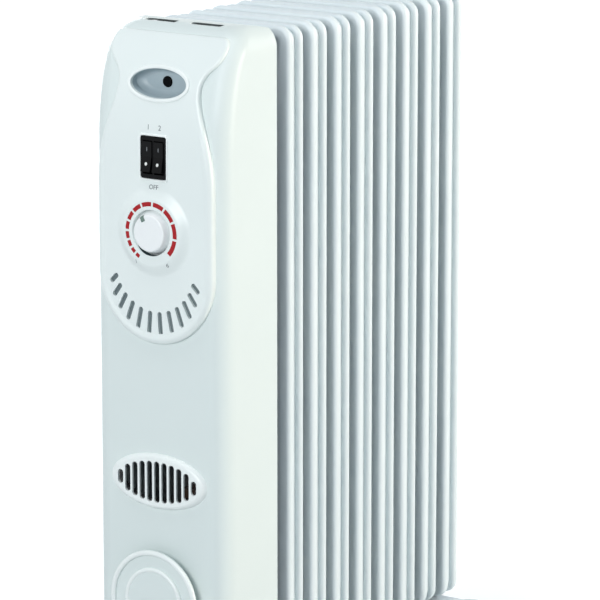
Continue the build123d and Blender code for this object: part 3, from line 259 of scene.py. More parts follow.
def finish_coat(name, tones, rough, grain_mm, cloud_mm, form=None, stretch=(1, 1, 1), **shader):
    """Surface of one process: colour and roughness drifting between two values each, and a fine grain.

    cloud_mm is the size of the drift's patches, and grain_mm the size and the relief of the grain.
    A grain that is too fine for the render is drawn coarser than the real one, so that it shows.
    stretch draws the grain out into scratches, form adds a larger relief under the grain, and shader
    holds further inputs by the names of their sockets.
    """
    material = bpy.data.materials.new(name)
    material.use_nodes = True
    tree = material.node_tree
    tree.nodes.clear()
    place = add(tree, "ShaderNodeTexCoord").outputs["Object"]
    drawn = add(tree, "ShaderNodeMapping", {"Vector": place, "Scale": stretch}).outputs["Vector"]
    cloud = add(
        tree, "ShaderNodeTexNoise", {"Vector": place, "Scale": PER_METRE / cloud_mm, "Detail": 4.0}
    ).outputs["Fac"]
    tone = add(
        tree,
        "ShaderNodeMix",
        {"Factor": cloud, "A": linear(tones[0]), "B": linear(tones[1])},
        data_type="RGBA",
    )
    gloss = add(
        tree, "ShaderNodeMapRange", {"Value": cloud, "To Min": rough[0], "To Max": rough[1]}
    ).outputs["Result"]
    grain = add(
        tree, "ShaderNodeTexNoise", {"Vector": drawn, "Scale": PER_METRE / grain_mm[0], "Detail": 2.0}
    ).outputs["Fac"]
    relief = {"Height": grain, "Distance": grain_mm[1] * MM, "Strength": 1.0}
    if form:
        height, depth_mm = form(tree, place)
        under = add(
            tree, "ShaderNodeBump", {"Height": height, "Distance": depth_mm * MM, "Strength": 1.0}
        )
        relief["Normal"] = under.outputs["Normal"]
    surface = add(
        tree,
        "ShaderNodeBsdfPrincipled",
        {
            "Base Color": tone.outputs[2],
            "Roughness": gloss,
            "Normal": add(tree, "ShaderNodeBump", relief).outputs["Normal"],
            **shader,
        },
    )
    add(tree, "ShaderNodeOutputMaterial", {"Surface": surface.outputs["BSDF"]})
    return material


def sheet_waves(tree, place):
    """Slow waves of a pressed sheet, 110 mm long; the noise uses under half of the depth given here."""
    length_mm, depth_mm = 110, 0.35
    waves = add(
        tree, "ShaderNodeTexNoise", {"Vector": place, "Scale": PER_METRE / length_mm, "Detail": 1.0}
    )
    return waves.outputs["Fac"], depth_mm


def spangle(tree, place):
    """Crystal facets of a zinc coat, about 2.5 mm across, drawn coarser than the real ones."""
    facet_mm, depth_mm = 2.5, 0.03
    facets = add(tree, "ShaderNodeTexVoronoi", {"Vector": place, "Scale": PER_METRE / facet_mm})
    return facets.outputs["Distance"], depth_mm


def tread_ribs(tree, place):
    """Ribs round the tyre, 2.25 mm apart along its axle."""
    pitch_mm, depth_mm = 2.25, 0.22
    bands_at_scale_one = 3.18
    ribs = add(
        tree,
        "ShaderNodeTexWave",
        {"Vector": place, "Scale": PER_METRE / pitch_mm / bands_at_scale_one, "Distortion": 0.0},
        bands_direction="X",
        wave_profile="SIN",
    )
    return ribs.outputs["Fac"], depth_mm


finishes = {
    # Stoved enamel over pressed steel: a wet-looking white with faint orange peel and slow waves in the sheet
    "fin_enamel": finish_coat(
        "stove_enamel_on_pressed_steel",
        tones=("#e6eef0", "#dde7eb"),
        rough=(0.28, 0.38),
        grain_mm=(2.4, 0.012),
        cloud_mm=90.0,
        form=sheet_waves,
        **{"Coat Weight": 0.05, "Coat Roughness": 0.15, "Specular IOR Level": 0.35},
    ),
    # ABS from a spark-eroded mould: an even white with a fine satin grain that softens the highlights
    "cover_plastic": finish_coat(
        "white_abs_spark_eroded_mould",
        tones=("#e0e9e7", "#d9e3e2"),
        rough=(0.36, 0.48),
        grain_mm=(0.9, 0.012),
        cloud_mm=120.0,
    ),
    # ABS from a polished mould: the same white with clearer highlights
    "panel_plastic": finish_coat(
        "white_abs_polished_mould",
        tones=("#eaf1ef", "#e4eceb"),
        rough=(0.26, 0.36),
        grain_mm=(1.6, 0.006),
        cloud_mm=80.0,
    ),
    # The same ABS on the small trim rings and the oval grille, made a little brighter as a painted highlight
    "trim_painted_highlight": finish_coat(
        "white_abs_brightened_highlight",
        tones=("#f1f6f4", "#ebf1f0"),
        rough=(0.24, 0.34),
        grain_mm=(1.2, 0.006),
        cloud_mm=40.0,
    ),
    # Grey ABS, satin; its grey is partly painted shade, so that it reads as a cool shaded bowl
    "dish_plastic": finish_coat(
        "grey_abs_satin_painted_shade",
        tones=("#abb9bf", "#9eaeb5"),
        rough=(0.34, 0.44),
        grain_mm=(0.9, 0.010),
        cloud_mm=26.0,
    ),
    # Smoked polycarbonate: nearly black and glossy, with a soft depth
    "lamp_lens": finish_coat(
        "smoked_polycarbonate_lens",
        tones=("#07090c", "#030405"),
        rough=(0.14, 0.22),
        grain_mm=(0.8, 0.010),
        cloud_mm=5.0,
        **{"Specular IOR Level": 0.04},
    ),
    # Moulded nylon: matt black with a dry grain
    "switch_plastic": finish_coat(
        "black_nylon_moulded",
        tones=("#0c0d0f", "#070809"),
        rough=(0.46, 0.58),
        grain_mm=(0.6, 0.012),
        cloud_mm=12.0,
        **{"Specular IOR Level": 0.1},
    ),
    # Polycarbonate from a gloss mould: black with tight highlights
    "rocker_plastic": finish_coat(
        "black_polycarbonate_gloss_mould",
        tones=("#08090b", "#040506"),
        rough=(0.30, 0.40),
        grain_mm=(0.8, 0.004),
        cloud_mm=12.0,
        **{"Specular IOR Level": 0.12},
    ),
    # ABS knob: bright white, smooth, with a faint handling haze
    "knob_plastic": finish_coat(
        "white_abs_knob_mould",
        tones=("#f4f6f6", "#eef2f3"),
        rough=(0.26, 0.38),
        grain_mm=(0.8, 0.006),
        cloud_mm=18.0,
    ),
    # Zinc plate: bright grey metal with crystal facets
    "zinc_plated_steel": finish_coat(
        "bright_zinc_plate",
        tones=("#cdd0d4", "#b0b5bb"),
        rough=(0.24, 0.42),
        grain_mm=(1.2, 0.008),
        cloud_mm=4.0,
        form=spangle,
        Metallic=1.0,
    ),
    # Stainless tube after heating: straw and brown tints over drawn scratches
    "element_steel": finish_coat(
        "heat_tinted_stainless_steel",
        tones=("#ada294", "#76695e"),
        rough=(0.28, 0.46),
        grain_mm=(0.8, 0.010),
        cloud_mm=14.0,
        stretch=(1.0, 0.06, 1.0),
        Metallic=1.0,
    ),
    # Phenolic: dark brown, slightly mottled by its wood-flour filler
    "phenolic_moulding": finish_coat(
        "brown_phenolic_moulded",
        tones=("#4f3d31", "#362922"),
        rough=(0.34, 0.48),
        grain_mm=(0.7, 0.014),
        cloud_mm=2.2,
    ),
    # Soft PVC: black with a dull bloom
    "inlet_rubber": finish_coat(
        "black_pvc_moulded",
        tones=("#2a2b2e", "#1d1e20"),
        rough=(0.55, 0.70),
        grain_mm=(0.7, 0.018),
        cloud_mm=7.0,
    ),
    # The feet's enamel: a little greyer than the fins, with the same orange peel
    "foot_enamel": finish_coat(
        "stove_enamel_on_foot",
        tones=("#dde4ea", "#d2dae1"),
        rough=(0.26, 0.38),
        grain_mm=(2.4, 0.014),
        cloud_mm=60.0,
        **{"Coat Weight": 0.3, "Coat Roughness": 0.15},
    ),
    # Polypropylene hood: dark grey, waxy, with flow marks
    "castor_plastic": finish_coat(
        "grey_polypropylene_moulded",
        tones=("#4c5056", "#3d4046"),
        rough=(0.40, 0.56),
        grain_mm=(0.8, 0.018),
        cloud_mm=16.0,
    ),
    # Polypropylene tyre: near black, dull, ribbed round its tread
    "wheel_plastic": finish_coat(
        "black_polypropylene_tyre",
        tones=("#2c2d30", "#1f2023"),
        rough=(0.46, 0.64),
        grain_mm=(0.8, 0.020),
        cloud_mm=9.0,
        form=tread_ribs,
    ),
    # Screen-printed ink: deep red with the slight unevenness of a pulled screen
    "red_ink": finish_coat(
        "red_screen_print",
        tones=("#ad141c", "#98101a"),
        rough=(0.40, 0.52),
        grain_mm=(0.5, 0.006),
        cloud_mm=3.0,
        **{"Specular IOR Level": 0.3},
    ),
    # Screen-printed ink: plain grey
    "grey_ink": finish_coat(
        "grey_screen_print",
        tones=("#747b80", "#666d72"),
        rough=(0.36, 0.48),
        grain_mm=(0.5, 0.006),
        cloud_mm=3.0,
    ),
    # Pad-printed ink on the rockers: off white
    "white_ink": finish_coat(
        "white_pad_print",
        tones=("#e9ebe8", "#dcdedb"),
        rough=(0.34, 0.46),
        grain_mm=(0.4, 0.004),
        cloud_mm=2.0,
    ),
    # Pad-printed ink on the rockers: dim grey
    "dim_ink": finish_coat(
        "dim_pad_print",
        tones=("#6f7377", "#5f6367"),
        rough=(0.36, 0.48),
        grain_mm=(0.4, 0.004),
        cloud_mm=2.0,
    ),
    # Painted shadow: dark blue-green at the foot of the bore that stands for the shadow line under the knob
    "painted_shadow_teal": finish_coat(
        "dark_teal_painted_shadow",
        tones=("#2b3d40", "#203033"),
        rough=(0.46, 0.58),
        grain_mm=(0.6, 0.008),
        cloud_mm=6.0,
        **{"Specular IOR Level": 0.2},
    ),
    # Painted shade: a dull grey sheet behind the slots that stands for the shade seen through them
    "slot_shade_grey": finish_coat(
        "grey_sheet_painted_shade",
        tones=("#6f7c7f", "#5f6b6e"),
        rough=(0.60, 0.75),
        grain_mm=(0.9, 0.02),
        cloud_mm=6.0,
    ),
    # Moulded inlay: muted grey-green
    "pointer_plastic": finish_coat(
        "grey_green_abs_inlay",
        tones=("#6f857d", "#62776f"),
        rough=(0.32, 0.42),
        grain_mm=(0.6, 0.006),
        cloud_mm=4.0,
    ),
}


def dress():
    """Gives each CAD node the finish of its slot in the record."""
    for part in frame["record"]["subparts"]:
        mesh = nodes[part["node"]].data
        mesh.materials.clear()
        mesh.materials.append(finishes[part["material_slot"]])


def placed(name, mesh, body):
    """Object of a finished mesh that rides on a body."""
    piece = bpy.data.objects.new(name, mesh)
    bpy.context.scene.collection.objects.link(piece)
    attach(piece, body)
    return piece


def own(name, mesh, finish, body):
    """Makes a mesh a piece of the heater: merged, facing outwards, smooth, and sharp at its edges."""
    merged = bmesh.new()
    merged.from_mesh(mesh)
    bmesh.ops.remove_doubles(merged, verts=merged.verts, dist=MERGE_DISTANCE)
    bmesh.ops.recalc_face_normals(merged, faces=merged.faces)
    merged.to_mesh(mesh)
    merged.free()
    mesh.materials.append(finishes[finish])
    mesh.shade_smooth()
    mesh.set_sharp_from_angle(angle=SHARP_ANGLE)
    placed(name, mesh, body)


def skin(name, grids, finish, body, loop=False):
    """Piece made of closed skins, one per grid of points in millimetres.

    Each row of a grid is a ring that closes on itself. Neighbouring rings are joined by quads, and the
    first and last ring are joined to each other where the path is a loop, or else filled.
    """
    faces = []
    start = 0
    for grid in grids:
        rings, around = grid.shape[:2]
        index = start + np.arange(rings * around).reshape(rings, around)
        start += rings * around
        if loop:
            index = np.vstack([index, index[:1]])
        else:
            faces += [index[0][::-1].tolist(), index[-1].tolist()]
        one, two = index[:-1], index[1:]
        quads = np.stack([one, np.roll(one, -1, 1), np.roll(two, -1, 1), two], axis=-1)
        faces += quads.reshape(-1, 4).tolist()
    points = np.vstack([grid.reshape(-1, 3) for grid in grids]) * MM
    mesh = bpy.data.meshes.new(name)
    mesh.from_pydata(points.tolist(), [], faces)
    own(name, mesh, finish, body)


def mended(node, name, body):
    """Copy of a CAD node's mesh, merged and without its empty triangles, that stands for the node.

    An empty triangle spoils the shading of the corners beside it. A corner whose shading direction leaves
    its triangle's by more than 37 degrees takes the triangle's own; all other corners keep theirs.
    """
    made = nodes[node].data
    count = len(made.polygons)
    place = np.empty(3 * len(made.vertices))
    made.vertices.foreach_get("co", place)
    corner = np.empty(3 * count, dtype=np.int64)
    made.loops.foreach_get("vertex_index", corner)
    shade = np.empty(9 * count)
    made.corner_normals.foreach_get("vector", shade)
    place, same = np.unique(np.round(place.reshape(-1, 3), PLACE_DIGITS), axis=0, return_inverse=True)
    faces = same.ravel()[corner].reshape(-1, 3)
    shade = shade.reshape(-1, 3, 3)
    one, two, three = (place[faces[:, i]] for i in range(3))
    flat = np.cross(two - one, three - one)
    size = np.linalg.norm(flat, axis=1)
    kept = size > EMPTY_TRIANGLE
    faces, shade = faces[kept], shade[kept]
    flat = np.repeat((flat[kept] / size[kept, None])[:, None], 3, axis=1)
    stray = np.sum(shade * flat, axis=-1) < STRAY_COSINE
    shade[stray] = flat[stray]
    mesh = bpy.data.meshes.new(name)
    mesh.from_pydata(place.tolist(), [], faces.tolist())
    mesh.materials.append(made.materials[0])
    mesh.shade_smooth()
    mesh.normals_split_custom_set(shade.reshape(-1, 3).tolist())
    piece = placed(name, mesh, body)
    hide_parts(node)


def full_turn(steps):
    """Angles of one turn in equal steps, without the last one, which is the first again."""
    return np.linspace(0, 2 * np.pi, steps, endpoint=False)


def bow_y(z):
    """Y of the panel's front at a height: flat below BOW_Z, a quarter ellipse that falls back above it."""
    share = np.clip((z - BOW_Z) / BOW_HEIGHT, 0, BOW_LIMIT)
    return PANEL_Y + BOW_DEPTH * (1 - np.sqrt(1 - share**2))


def on_front(x, z, height):
    """Points at x and z that stand a height out of the panel's bowed front."""
    return np.stack([x, bow_y(z) - height, z], axis=-1)


def round_about(radius, height, angle, z):
    """Points about an axis along Y through x = 0 and z.

    The angle runs clockwise from the bottom, and the height out of the panel.
    """
    return np.stack([-radius * np.sin(angle), PANEL_Y - height, z - radius * np.cos(angle)], axis=-1)


def rounded_loop(points, round_mm, steps=5):
    """Closed outline whose corners are rounded, each by a quadratic blend from one side to the next."""
    corner = np.array(points, dtype=float)
    before = np.roll(corner, 1, 0) - corner
    after = np.roll(corner, -1, 0) - corner
    before_length = np.linalg.norm(before, axis=1, keepdims=True)
    after_length = np.linalg.norm(after, axis=1, keepdims=True)
    cut = np.minimum(round_mm, CORNER_SHARE * np.minimum(before_length, after_length))
    start = corner + before / before_length * cut
    end = corner + after / after_length * cut
    t = np.linspace(0, 1, steps)[None, :, None]
    curve = (1 - t) ** 2 * start[:, None] + 2 * t * (1 - t) * corner[:, None] + t**2 * end[:, None]
    return curve.reshape(-1, 2)


def carried(path, out, profile, z):
    """Section carried round a path on the panel's front: reach outwards, and height out of the panel."""
    spot = path[:, None, :] + out[:, None, :] * profile[None, :, :1]
    return on_front(spot[..., 0], z + spot[..., 1], profile[None, :, 1])


def disc_height(radius):
    """Height of the dial disc over the panel: flat to DISC_FLAT, then half a cosine down to the panel."""
    share = np.clip((radius - DISC_FLAT) / DISC_SLOPE, 0, 1)
    return DISC_TOP * (1 + np.cos(np.pi * share)) / 2


def dial_disc():
    """Raised disc round the knob: a profile of radius and height turned about the knob's axis."""
    mouth = np.array(DISC_MOUTH_POINTS)
    flat = np.linspace(DISC_BORE + DISC_MOUTH, DISC_FLAT, 4)
    slope = DISC_FLAT + DISC_SLOPE * np.linspace(0, 1, 22)[1:]
    face = np.concatenate([flat, slope])
    radius = np.concatenate([[DISC_BORE], DISC_BORE + mouth[:, 0], face, [DISC_FLAT + DISC_SLOPE]])
    top = disc_height(face) - DISC_FACE_DROP
    height = np.concatenate([[-DISC_SINK], DISC_TOP - mouth[:, 1], top, [-DISC_SINK]])
    angle = full_turn(160)[:, None]
    grid = round_about(radius[None, :], height[None, :] + 0 * angle, angle, KNOB_Z)
    skin("dial_disc", [grid], "panel_plastic", "heater", loop=True)


def dial_shadow_crescent():
    """Painted shadow under the knob: a thin dark section at the foot of the disc's bore, carried along an arc
    about the bottom.

    The section's thickness and height shrink towards both ends as the square root of the cosine of the
    way along.
    """
    corners = [(0.0, 0.0), (SHADOW_WALL, 0.0), (SHADOW_WALL, 1.0), (SHADOW_CHAMFER, 1.0)]
    profile = rounded_loop(corners, SHADOW_ROUND, 3)
    way = np.linspace(-1, 1, 61)[:, None]
    swell = np.sqrt(np.cos(SHADOW_END_TURN * way))
    radius = DISC_BORE + SHADOW_SINK - SHADOW_PROUD * swell + profile[None, :, 0] * swell
    height = SHADOW_FOOT + SHADOW_HEIGHT * profile[None, :, 1] * swell
    grid = round_about(radius, height, math.radians(SHADOW_REACH) * way, KNOB_Z)
    skin("dial_shadow_crescent", [grid], "painted_shadow_teal", "heater")


def dial_scale():
    """Printed bars round the knob, each longer and wider than the last.

    With s from 0 at the first bar to 1 at the last, a bar spans SCALE_SHORTEST + SCALE_GROWTH times
    s ** SCALE_POWER degrees, and is SCALE_NARROWEST + SCALE_WIDENING times s wide.
    """
    step = np.arange(SCALE_COUNT) / (SCALE_COUNT - 1)
    length = SCALE_SHORTEST + SCALE_GROWTH * step**SCALE_POWER
    start = SCALE_START + np.concatenate([[0], np.cumsum(length + SCALE_GAP)[:-1]])
    grids = []
    for share, low, span in zip(step, start, length):
        half = (SCALE_NARROWEST + SCALE_WIDENING * share) / 2
        corners = [(-half, -SCALE_SINK), (-half, SCALE_PROUD), (half, SCALE_PROUD), (half, -SCALE_SINK)]
        profile = rounded_loop(corners, SCALE_ROUND, 3)
        angle = np.radians(np.linspace(low, low + span, 4 + int(span / 2)))[:, None]
        height = DISC_TOP + profile[None, :, 1] + 0 * angle
        grids.append(round_about(SCALE_RADIUS + profile[None, :, 0], height, angle, KNOB_Z))
    skin("dial_scale", grids, "red_ink", "heater")


def fan_slot_shade():
    """Grey sheet behind the fan of slots, painted shade seen through them: a half disc whose outline is
    carried through its thickness.
    """
    turn = np.linspace(-np.pi / 2, np.pi / 2, 60)
    x = BACKING_RADIUS * np.sin(turn)
    z = TONGUE_Z - BACKING_DROP - BACKING_RADIUS * np.cos(turn)
    layers = np.array([0, BACKING_EASE, BACKING_THICK - BACKING_EASE, BACKING_THICK])
    depth = PANEL_Y + BACKING_BEHIND + layers
    inset = np.array([BACKING_EDGE, 1.0, 1.0, BACKING_EDGE])
    spread = x[None, :] * inset[:, None]
    grid = np.stack([spread, depth[:, None] + 0 * spread, z[None, :] + 0 * spread], axis=-1)
    skin("fan_slot_shade", [grid], "slot_shade_grey", "heater")


def printed(name, text, size, x, z, finish):
    """Printed word or number: a text outline made a thin solid and laid on the panel or the dial disc."""
    font = bpy.data.curves.new(name, "FONT")
    font.body = text
    font.size = size * MM
    font.extrude = PRINT_HALF * MM
    font.align_x = "CENTER"
    font.align_y = "CENTER"
    font.resolution_u = PRINT_CURVE_STEPS
    draft = bpy.data.objects.new(name, font)
    bpy.context.scene.collection.objects.link(draft)
    bpy.context.view_layer.update()
    solid = draft.evaluated_get(bpy.context.evaluated_depsgraph_get())
    mesh = bpy.data.meshes.new_from_object(solid)
    bpy.data.objects.remove(draft)
    flat = np.empty(3 * len(mesh.vertices))
    mesh.vertices.foreach_get("co", flat)
    flat = flat.reshape(-1, 3) / MM
    side = flat[:, 0] + x
    high = flat[:, 1] + z
    raised = disc_height(np.hypot(side, high - KNOB_Z)) + flat[:, 2]
    mesh.vertices.foreach_set("co", (on_front(side, high, raised) * MM).ravel())
    mesh.update()
    own(name, mesh, finish, "heater")


def panel_ridge():
    """Soft ridge inside the panel's edge: a low section carried down one side, round the end and up again.

    The half width shrinks towards the waist by WAIST_IN * ((1 + b) u ** 2 - b u ** 3), where b is
    WAIST_BEND and u goes from 0 to 1 over WAIST_LENGTH. The section climbs as a quarter sine from the
    rounded edge to its crest and falls as half a cosine, and it sinks into the panel towards both ends.
    """
    down = np.linspace(RIDGE_TOP_Z, TONGUE_Z, 90)
    share = np.clip((down - WAIST_START_Z) / WAIST_LENGTH, 0, 1)
    half = TONGUE_HALF - WAIST_IN * share**2 * (1 + WAIST_BEND - WAIST_BEND * share)
    turn = np.linspace(-np.pi / 2, np.pi / 2, 80)[1:-1]
    x = np.concatenate([-half, TONGUE_HALF * np.sin(turn), half[::-1]])
    z = np.concatenate([down, TONGUE_Z - TONGUE_HALF * np.cos(turn), down[::-1]])
    ahead_x, ahead_z = np.gradient(x), np.gradient(z)
    length = np.hypot(ahead_x, ahead_z)
    inward = np.stack([-ahead_z / length, ahead_x / length], axis=-1)
    climb = np.linspace(0, 1, 8)
    fall = np.linspace(0, 1, 12)[1:]
    under = np.array(RIDGE_UNDERSIDE)
    rising = RIDGE_START + (RIDGE_CREST - RIDGE_START) * climb
    falling = RIDGE_CREST + (RIDGE_END - RIDGE_CREST) * fall
    reach = np.concatenate([rising, falling, under[:, 0]])
    rising = RIDGE_START_HEIGHT + (RIDGE_HEIGHT - RIDGE_START_HEIGHT) * np.sin(np.pi / 2 * climb)
    falling = RIDGE_END_HEIGHT + (RIDGE_HEIGHT - RIDGE_END_HEIGHT) * (1 + np.cos(np.pi * fall)) / 2
    height = np.concatenate([rising, falling, under[:, 1]])
    ends = np.clip((RIDGE_TOP_Z - z) / RIDGE_FADE, 0, 1)
    sink = RIDGE_SINK * (1 - ends**2 * (3 - 2 * ends))
    spot_x = x[:, None] + inward[:, None, 0] * reach[None, :]
    spot_z = z[:, None] + inward[:, None, 1] * reach[None, :]
    grid = on_front(spot_x, spot_z, height[None, :] - sink[:, None])
    skin("panel_ridge", [grid], "panel_plastic", "heater")


def knob_pointer():
    """Inlay of the knob: a section that fills its notch and lies on its face, carried along the tangent."""
    profile = rounded_loop(POINTER_SECTION, POINTER_ROUND)
    outward = np.array([-math.sin(POINTER_TURN), 0, math.cos(POINTER_TURN)])
    along = np.array([math.cos(POINTER_TURN), 0, math.sin(POINTER_TURN)])
    out_of_panel = np.array([0, -1, 0])
    way = np.linspace(-POINTER_WIDTH / 2, POINTER_WIDTH / 2, 9)[:, None, None]
    centre = np.array([0, PANEL_Y, KNOB_Z])
    grid = (
        centre
        + profile[None, :, 0, None] * outward
        + profile[None, :, 1, None] * out_of_panel
        + way * along
    )
    skin("knob_pointer", [grid], "pointer_plastic", "thermostat_control")


def switch_bezel():
    """White frame round the switch: a flat section carried round a rounded rectangle, on the panel."""
    wide, high = BEZEL_HALF_WIDTH, BEZEL_HALF_HEIGHT
    path = rounded_loop([(-wide, -high), (wide, -high), (wide, high), (-wide, high)], BEZEL_CORNER, 9)
    ahead = np.roll(path, -1, 0) - np.roll(path, 1, 0)
    out = np.stack([ahead[:, 1], -ahead[:, 0]], axis=-1) / np.linalg.norm(ahead, axis=1, keepdims=True)
    foot, top = -BEZEL_SINK, BEZEL_PROUD
    profile = rounded_loop(
        [(0, foot), (0, top), (BEZEL_TOP_WIDTH, top), (BEZEL_FOOT_WIDTH, foot)], BEZEL_ROUND
    )
    grid = carried(path, out, profile, SWITCH_Z)
    skin("switch_bezel", [grid], "trim_painted_highlight", "heater", loop=True)


def dish_lip():
    """Raised lip of the oval opening: a low oval section carried round the ellipse, on the panel."""
    turn = full_turn(ROUND_STEPS)
    path = np.stack([LIP_HALF_WIDTH * np.cos(turn), LIP_HALF_HEIGHT * np.sin(turn)], axis=-1)
    out = np.stack([LIP_HALF_HEIGHT * np.cos(turn), LIP_HALF_WIDTH * np.sin(turn)], axis=-1)
    out /= np.linalg.norm(out, axis=1, keepdims=True)
    sweep = full_turn(24)
    reach = LIP_REACH + LIP_HALF_REACH * np.cos(sweep)
    rise = LIP_RISE + LIP_HALF_RISE * np.sin(sweep)
    grid = carried(path, out, np.stack([reach, rise], axis=-1), DISH_Z)
    skin("dish_lip", [grid], "trim_painted_highlight", "heater", loop=True)


def grille_strip():
    """Dark strip round the inside of the oval grille: a flat section carried round the ellipse.

    At the top and the bottom the section's reach outwards is STRIP_SQUEEZE times its reach at the sides.
    """
    corners = [(0, STRIP_FRONT), (STRIP_REACH, STRIP_FRONT), (STRIP_REACH, STRIP_BACK), (0, STRIP_BACK)]
    profile = rounded_loop(corners, STRIP_ROUND, 3)
    turn = full_turn(ROUND_STEPS)[:, None]
    x = (STRIP_HALF_WIDTH + profile[None, :, 0]) * np.cos(turn)
    z = GRILLE_Z + (STRIP_HALF_HEIGHT + STRIP_SQUEEZE * profile[None, :, 0]) * np.sin(turn)
    grid = np.stack([x, PANEL_Y + profile[None, :, 1] + 0 * x, z], axis=-1)
    skin("grille_strip", [grid], "inlet_rubber", "heater", loop=True)


def spool_bead(name, middle, half_width):
    """Half-round bead on the spool's face: an ellipse of radius and height turned about the spool's axis."""
    sweep = full_turn(28)[None, :]
    turn = full_turn(ROUND_STEPS)[:, None]
    radius = middle + half_width * np.cos(sweep)
    height = BEAD_FRONT + BEAD_RISE * np.sin(sweep) + 0 * turn
    skin(name, [round_about(radius, height, turn, SPOOL_Z)], "trim_painted_highlight", "heater", loop=True)


def rocker_mark(side, name, finish, half_width, half_height, rise):
    """Printed mark on a rocker: a flat superellipsoid laid on the hollow face of the tilted paddle.

    Its section shrinks as the cosine of latitude to the power MARK_POWER, so that its top is flat and its
    edge is round.
    """
    latitude = np.linspace(-MARK_LATITUDE, MARK_LATITUDE, 9)[:, None]
    turn = full_turn(32)[None, :]
    shrink = np.cos(latitude) ** MARK_POWER
    across = half_width * shrink * np.cos(turn)
    up = rise + half_height * shrink * np.sin(turn)
    hollow = ROCKER_DISH * (1 - np.abs(up) / ROCKER_HALF)
    depth = -ROCKER_FRONT + hollow - MARK_HALF * np.sin(latitude)
    y = depth * math.cos(ROCKER_TILT) - up * math.sin(ROCKER_TILT)
    z = depth * math.sin(ROCKER_TILT) + up * math.cos(ROCKER_TILT)
    sign = -1 if side == "left" else 1
    grid = np.stack([sign * ROCKER_SPREAD + across, ROCKER_PIVOT_Y + y, SWITCH_Z + z], axis=-1)
    skin(f"rocker_{name}_{side}", [grid], finish, f"{side}_rocker")


def camera():
    """Camera at the photograph's place: 34.2 degrees to the right of the front and 12.6 degrees up."""
    data = bpy.data.cameras.new("camera")
    data.sensor_width = FILM_MM
    data.lens = LENS_MM
    data.shift_y = CAMERA_SHIFT
    data.clip_end = CAMERA_REACH
    made = bpy.data.objects.new("camera", data)
    made.location = CAMERA_PLACE
    made.rotation_euler = (math.radians(90 - CAMERA_TILT), 0, math.radians(CAMERA_TURN))
    bpy.context.scene.collection.objects.link(made)
    bpy.context.scene.camera = made


def softbox(name, place, aim_height, size, watts, tint="#ffffff"):
    """Area lamp at a place, turned towards a height on the heater's middle, in metres."""
    data = bpy.data.lights.new(name, "AREA")
    data.shape = "RECTANGLE"
    data.size, data.size_y = size
    data.energy = watts
    data.color = linear(tint)[:3]
    made = bpy.data.objects.new(name, data)
    made.location = place
    towards = np.array((0, 0, aim_height)) - np.array(place)
    made.rotation_euler = (
        math.acos(-towards[2] / np.linalg.norm(towards)),
        0,
        math.atan2(-towards[0], towards[1]),
    )
    bpy.context.scene.collection.objects.link(made)


def seen_directly(tree):
    """One for rays that show a surface: from the camera, or by way of a reflection or a clear part."""
    path = add(tree, "ShaderNodeLightPath").outputs
    either = add(
        tree, "ShaderNodeMath", {0: path["Is Camera Ray"], 1: path["Is Glossy Ray"]}, operation="MAXIMUM"
    ).outputs[0]
    return add(
        tree, "ShaderNodeMath", {0: either, 1: path["Is Transmission Ray"]}, operation="MAXIMUM"
    ).outputs[0]


def sky():
    """World that is white where it is seen, and a dim cool fill for the rest."""
    world = bpy.data.worlds.new("studio")
    bpy.context.scene.world = world
    world.use_nodes = True
    tree = world.node_tree
    tree.nodes.clear()
    seen = seen_directly(tree)
    tint = add(
        tree,
        "ShaderNodeMix",
        {"Factor": seen, "A": linear("#b0d5ec"), "B": linear("#ffffff")},
        data_type="RGBA",
    )
    level = add(tree, "ShaderNodeMapRange", {"Value": seen, "To Min": SKY_FILL, "To Max": WHITE})
    glow = add(
        tree, "ShaderNodeBackground", {"Color": tint.outputs[2], "Strength": level.outputs["Result"]}
    )
    add(tree, "ShaderNodeOutputWorld", {"Surface": glow.outputs["Background"]})


def white_paper():
    """Matt paper sweep: it keeps the heater's shadow, and glows up to white further out where it is seen."""
    paper = bpy.data.materials.new("white_paper_sweep")
    paper.use_nodes = True
    tree = paper.node_tree
    tree.nodes.clear()
    place = add(tree, "ShaderNodeTexCoord").outputs["Object"]
    far = add(tree, "ShaderNodeVectorMath", {0: place}, operation="LENGTH").outputs["Value"]
    white = add(
        tree,
        "ShaderNodeMapRange",
        {
            "Value": far,
            "From Min": GLOW_NEAR,
            "From Max": GLOW_FAR,
            "To Min": GLOW_AT_NEAR,
            "To Max": WHITE,
        },
    ).outputs["Result"]
    white = add(
        tree, "ShaderNodeMath", {0: white, 1: seen_directly(tree)}, operation="MULTIPLY"
    ).outputs[0]
    glow = add(tree, "ShaderNodeEmission", {"Strength": white})
    matt = add(tree, "ShaderNodeBsdfDiffuse", {"Color": linear("#c2c6c9")})
    both = add(tree, "ShaderNodeAddShader", {0: matt.outputs[0], 1: glow.outputs[0]})
    add(tree, "ShaderNodeOutputMaterial", {"Surface": both.outputs[0]})
    return paper


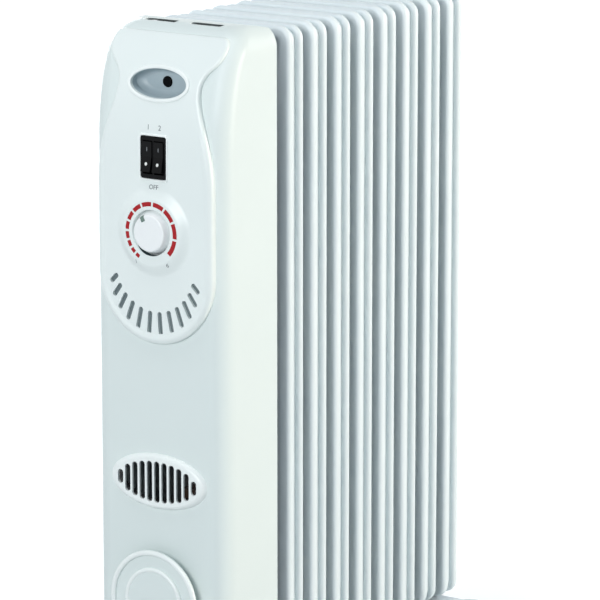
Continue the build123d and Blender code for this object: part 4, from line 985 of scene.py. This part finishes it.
def studio():
    """White room: the sky, a square of paper for a floor, and five soft lamps round the heater."""
    sky()
    far = FLOOR_REACH
    mesh = bpy.data.meshes.new("floor")
    mesh.from_pydata([(-far, -far, 0), (far, -far, 0), (far, far, 0), (-far, far, 0)], [], [(0, 1, 2, 3)])
    floor = bpy.data.objects.new("floor", mesh)
    bpy.context.scene.collection.objects.link(floor)
    mesh.materials.append(white_paper())
    softbox("key", (3.05, 1.1, 0.95), aim_height=0.38, size=(1.0, 1.3), watts=80, tint="#fff7ea")
    softbox("front", (0.3, -3.0, 1.5), aim_height=0.38, size=(1.4, 1.4), watts=56)
    softbox("top", (-0.3, -0.7, 3.0), aim_height=0.5, size=(1.4, 1.4), watts=24)
    softbox("left", (-2.7, 1.8, 1.2), aim_height=0.35, size=(1.4, 1.4), watts=50)
    softbox("back", (0.9, 3.2, 1.0), aim_height=0.35, size=(1.4, 1.4), watts=40)


# Finishes on the solids, and the panel's mesh without its empty triangles
dress()
# The vent grille takes the brightened trim finish, a painted highlight
nodes["vent_grille"].data.materials[0] = finishes["trim_painted_highlight"]
mended("control_panel", "panel_moulding", "heater")

# Dial, print and trim on the panel
dial_disc()
# Painted shadow: a dark crescent at the foot of the bore, under the knob
dial_shadow_crescent()
dial_scale()
# Painted shade: a grey sheet seen through the fan's slots
fan_slot_shade()
dial_number_z = KNOB_Z - DIAL_NUMBER_DROP
switch_number_z = SWITCH_Z + SWITCH_PRINT_RISE
printed("dial_number_1", "1", DIAL_NUMBER_SIZE, -DIAL_NUMBER_SPREAD, dial_number_z, "grey_ink")
printed("dial_number_6", "6", DIAL_NUMBER_SIZE, DIAL_NUMBER_SPREAD, dial_number_z, "grey_ink")
printed("switch_number_1", "1", SWITCH_NUMBER_SIZE, -ROCKER_SPREAD, switch_number_z, "grey_ink")
printed("switch_number_2", "2", SWITCH_NUMBER_SIZE, ROCKER_SPREAD, switch_number_z, "grey_ink")
printed("switch_word_off", "OFF", SWITCH_WORD_SIZE, 0.0, SWITCH_Z - SWITCH_PRINT_RISE, "grey_ink")
panel_ridge()
knob_pointer()
switch_bezel()
dish_lip()

# Trim on the housing, and the rockers' marks
grille_strip()
spool_bead("spool_rim_bead", middle=44.6, half_width=2.4)
spool_bead("spool_inner_bead", middle=29.0, half_width=2.0)
for hand in ("left", "right"):
    rocker_mark(hand, "bar", "dim_ink", half_width=0.55, half_height=2.0, rise=6.6)
    rocker_mark(hand, "dot", "white_ink", half_width=1.35, half_height=1.5, rise=-6.4)

# Camera, light and view transform
camera()
studio()
bpy.context.scene.view_settings.view_transform = "Standard"
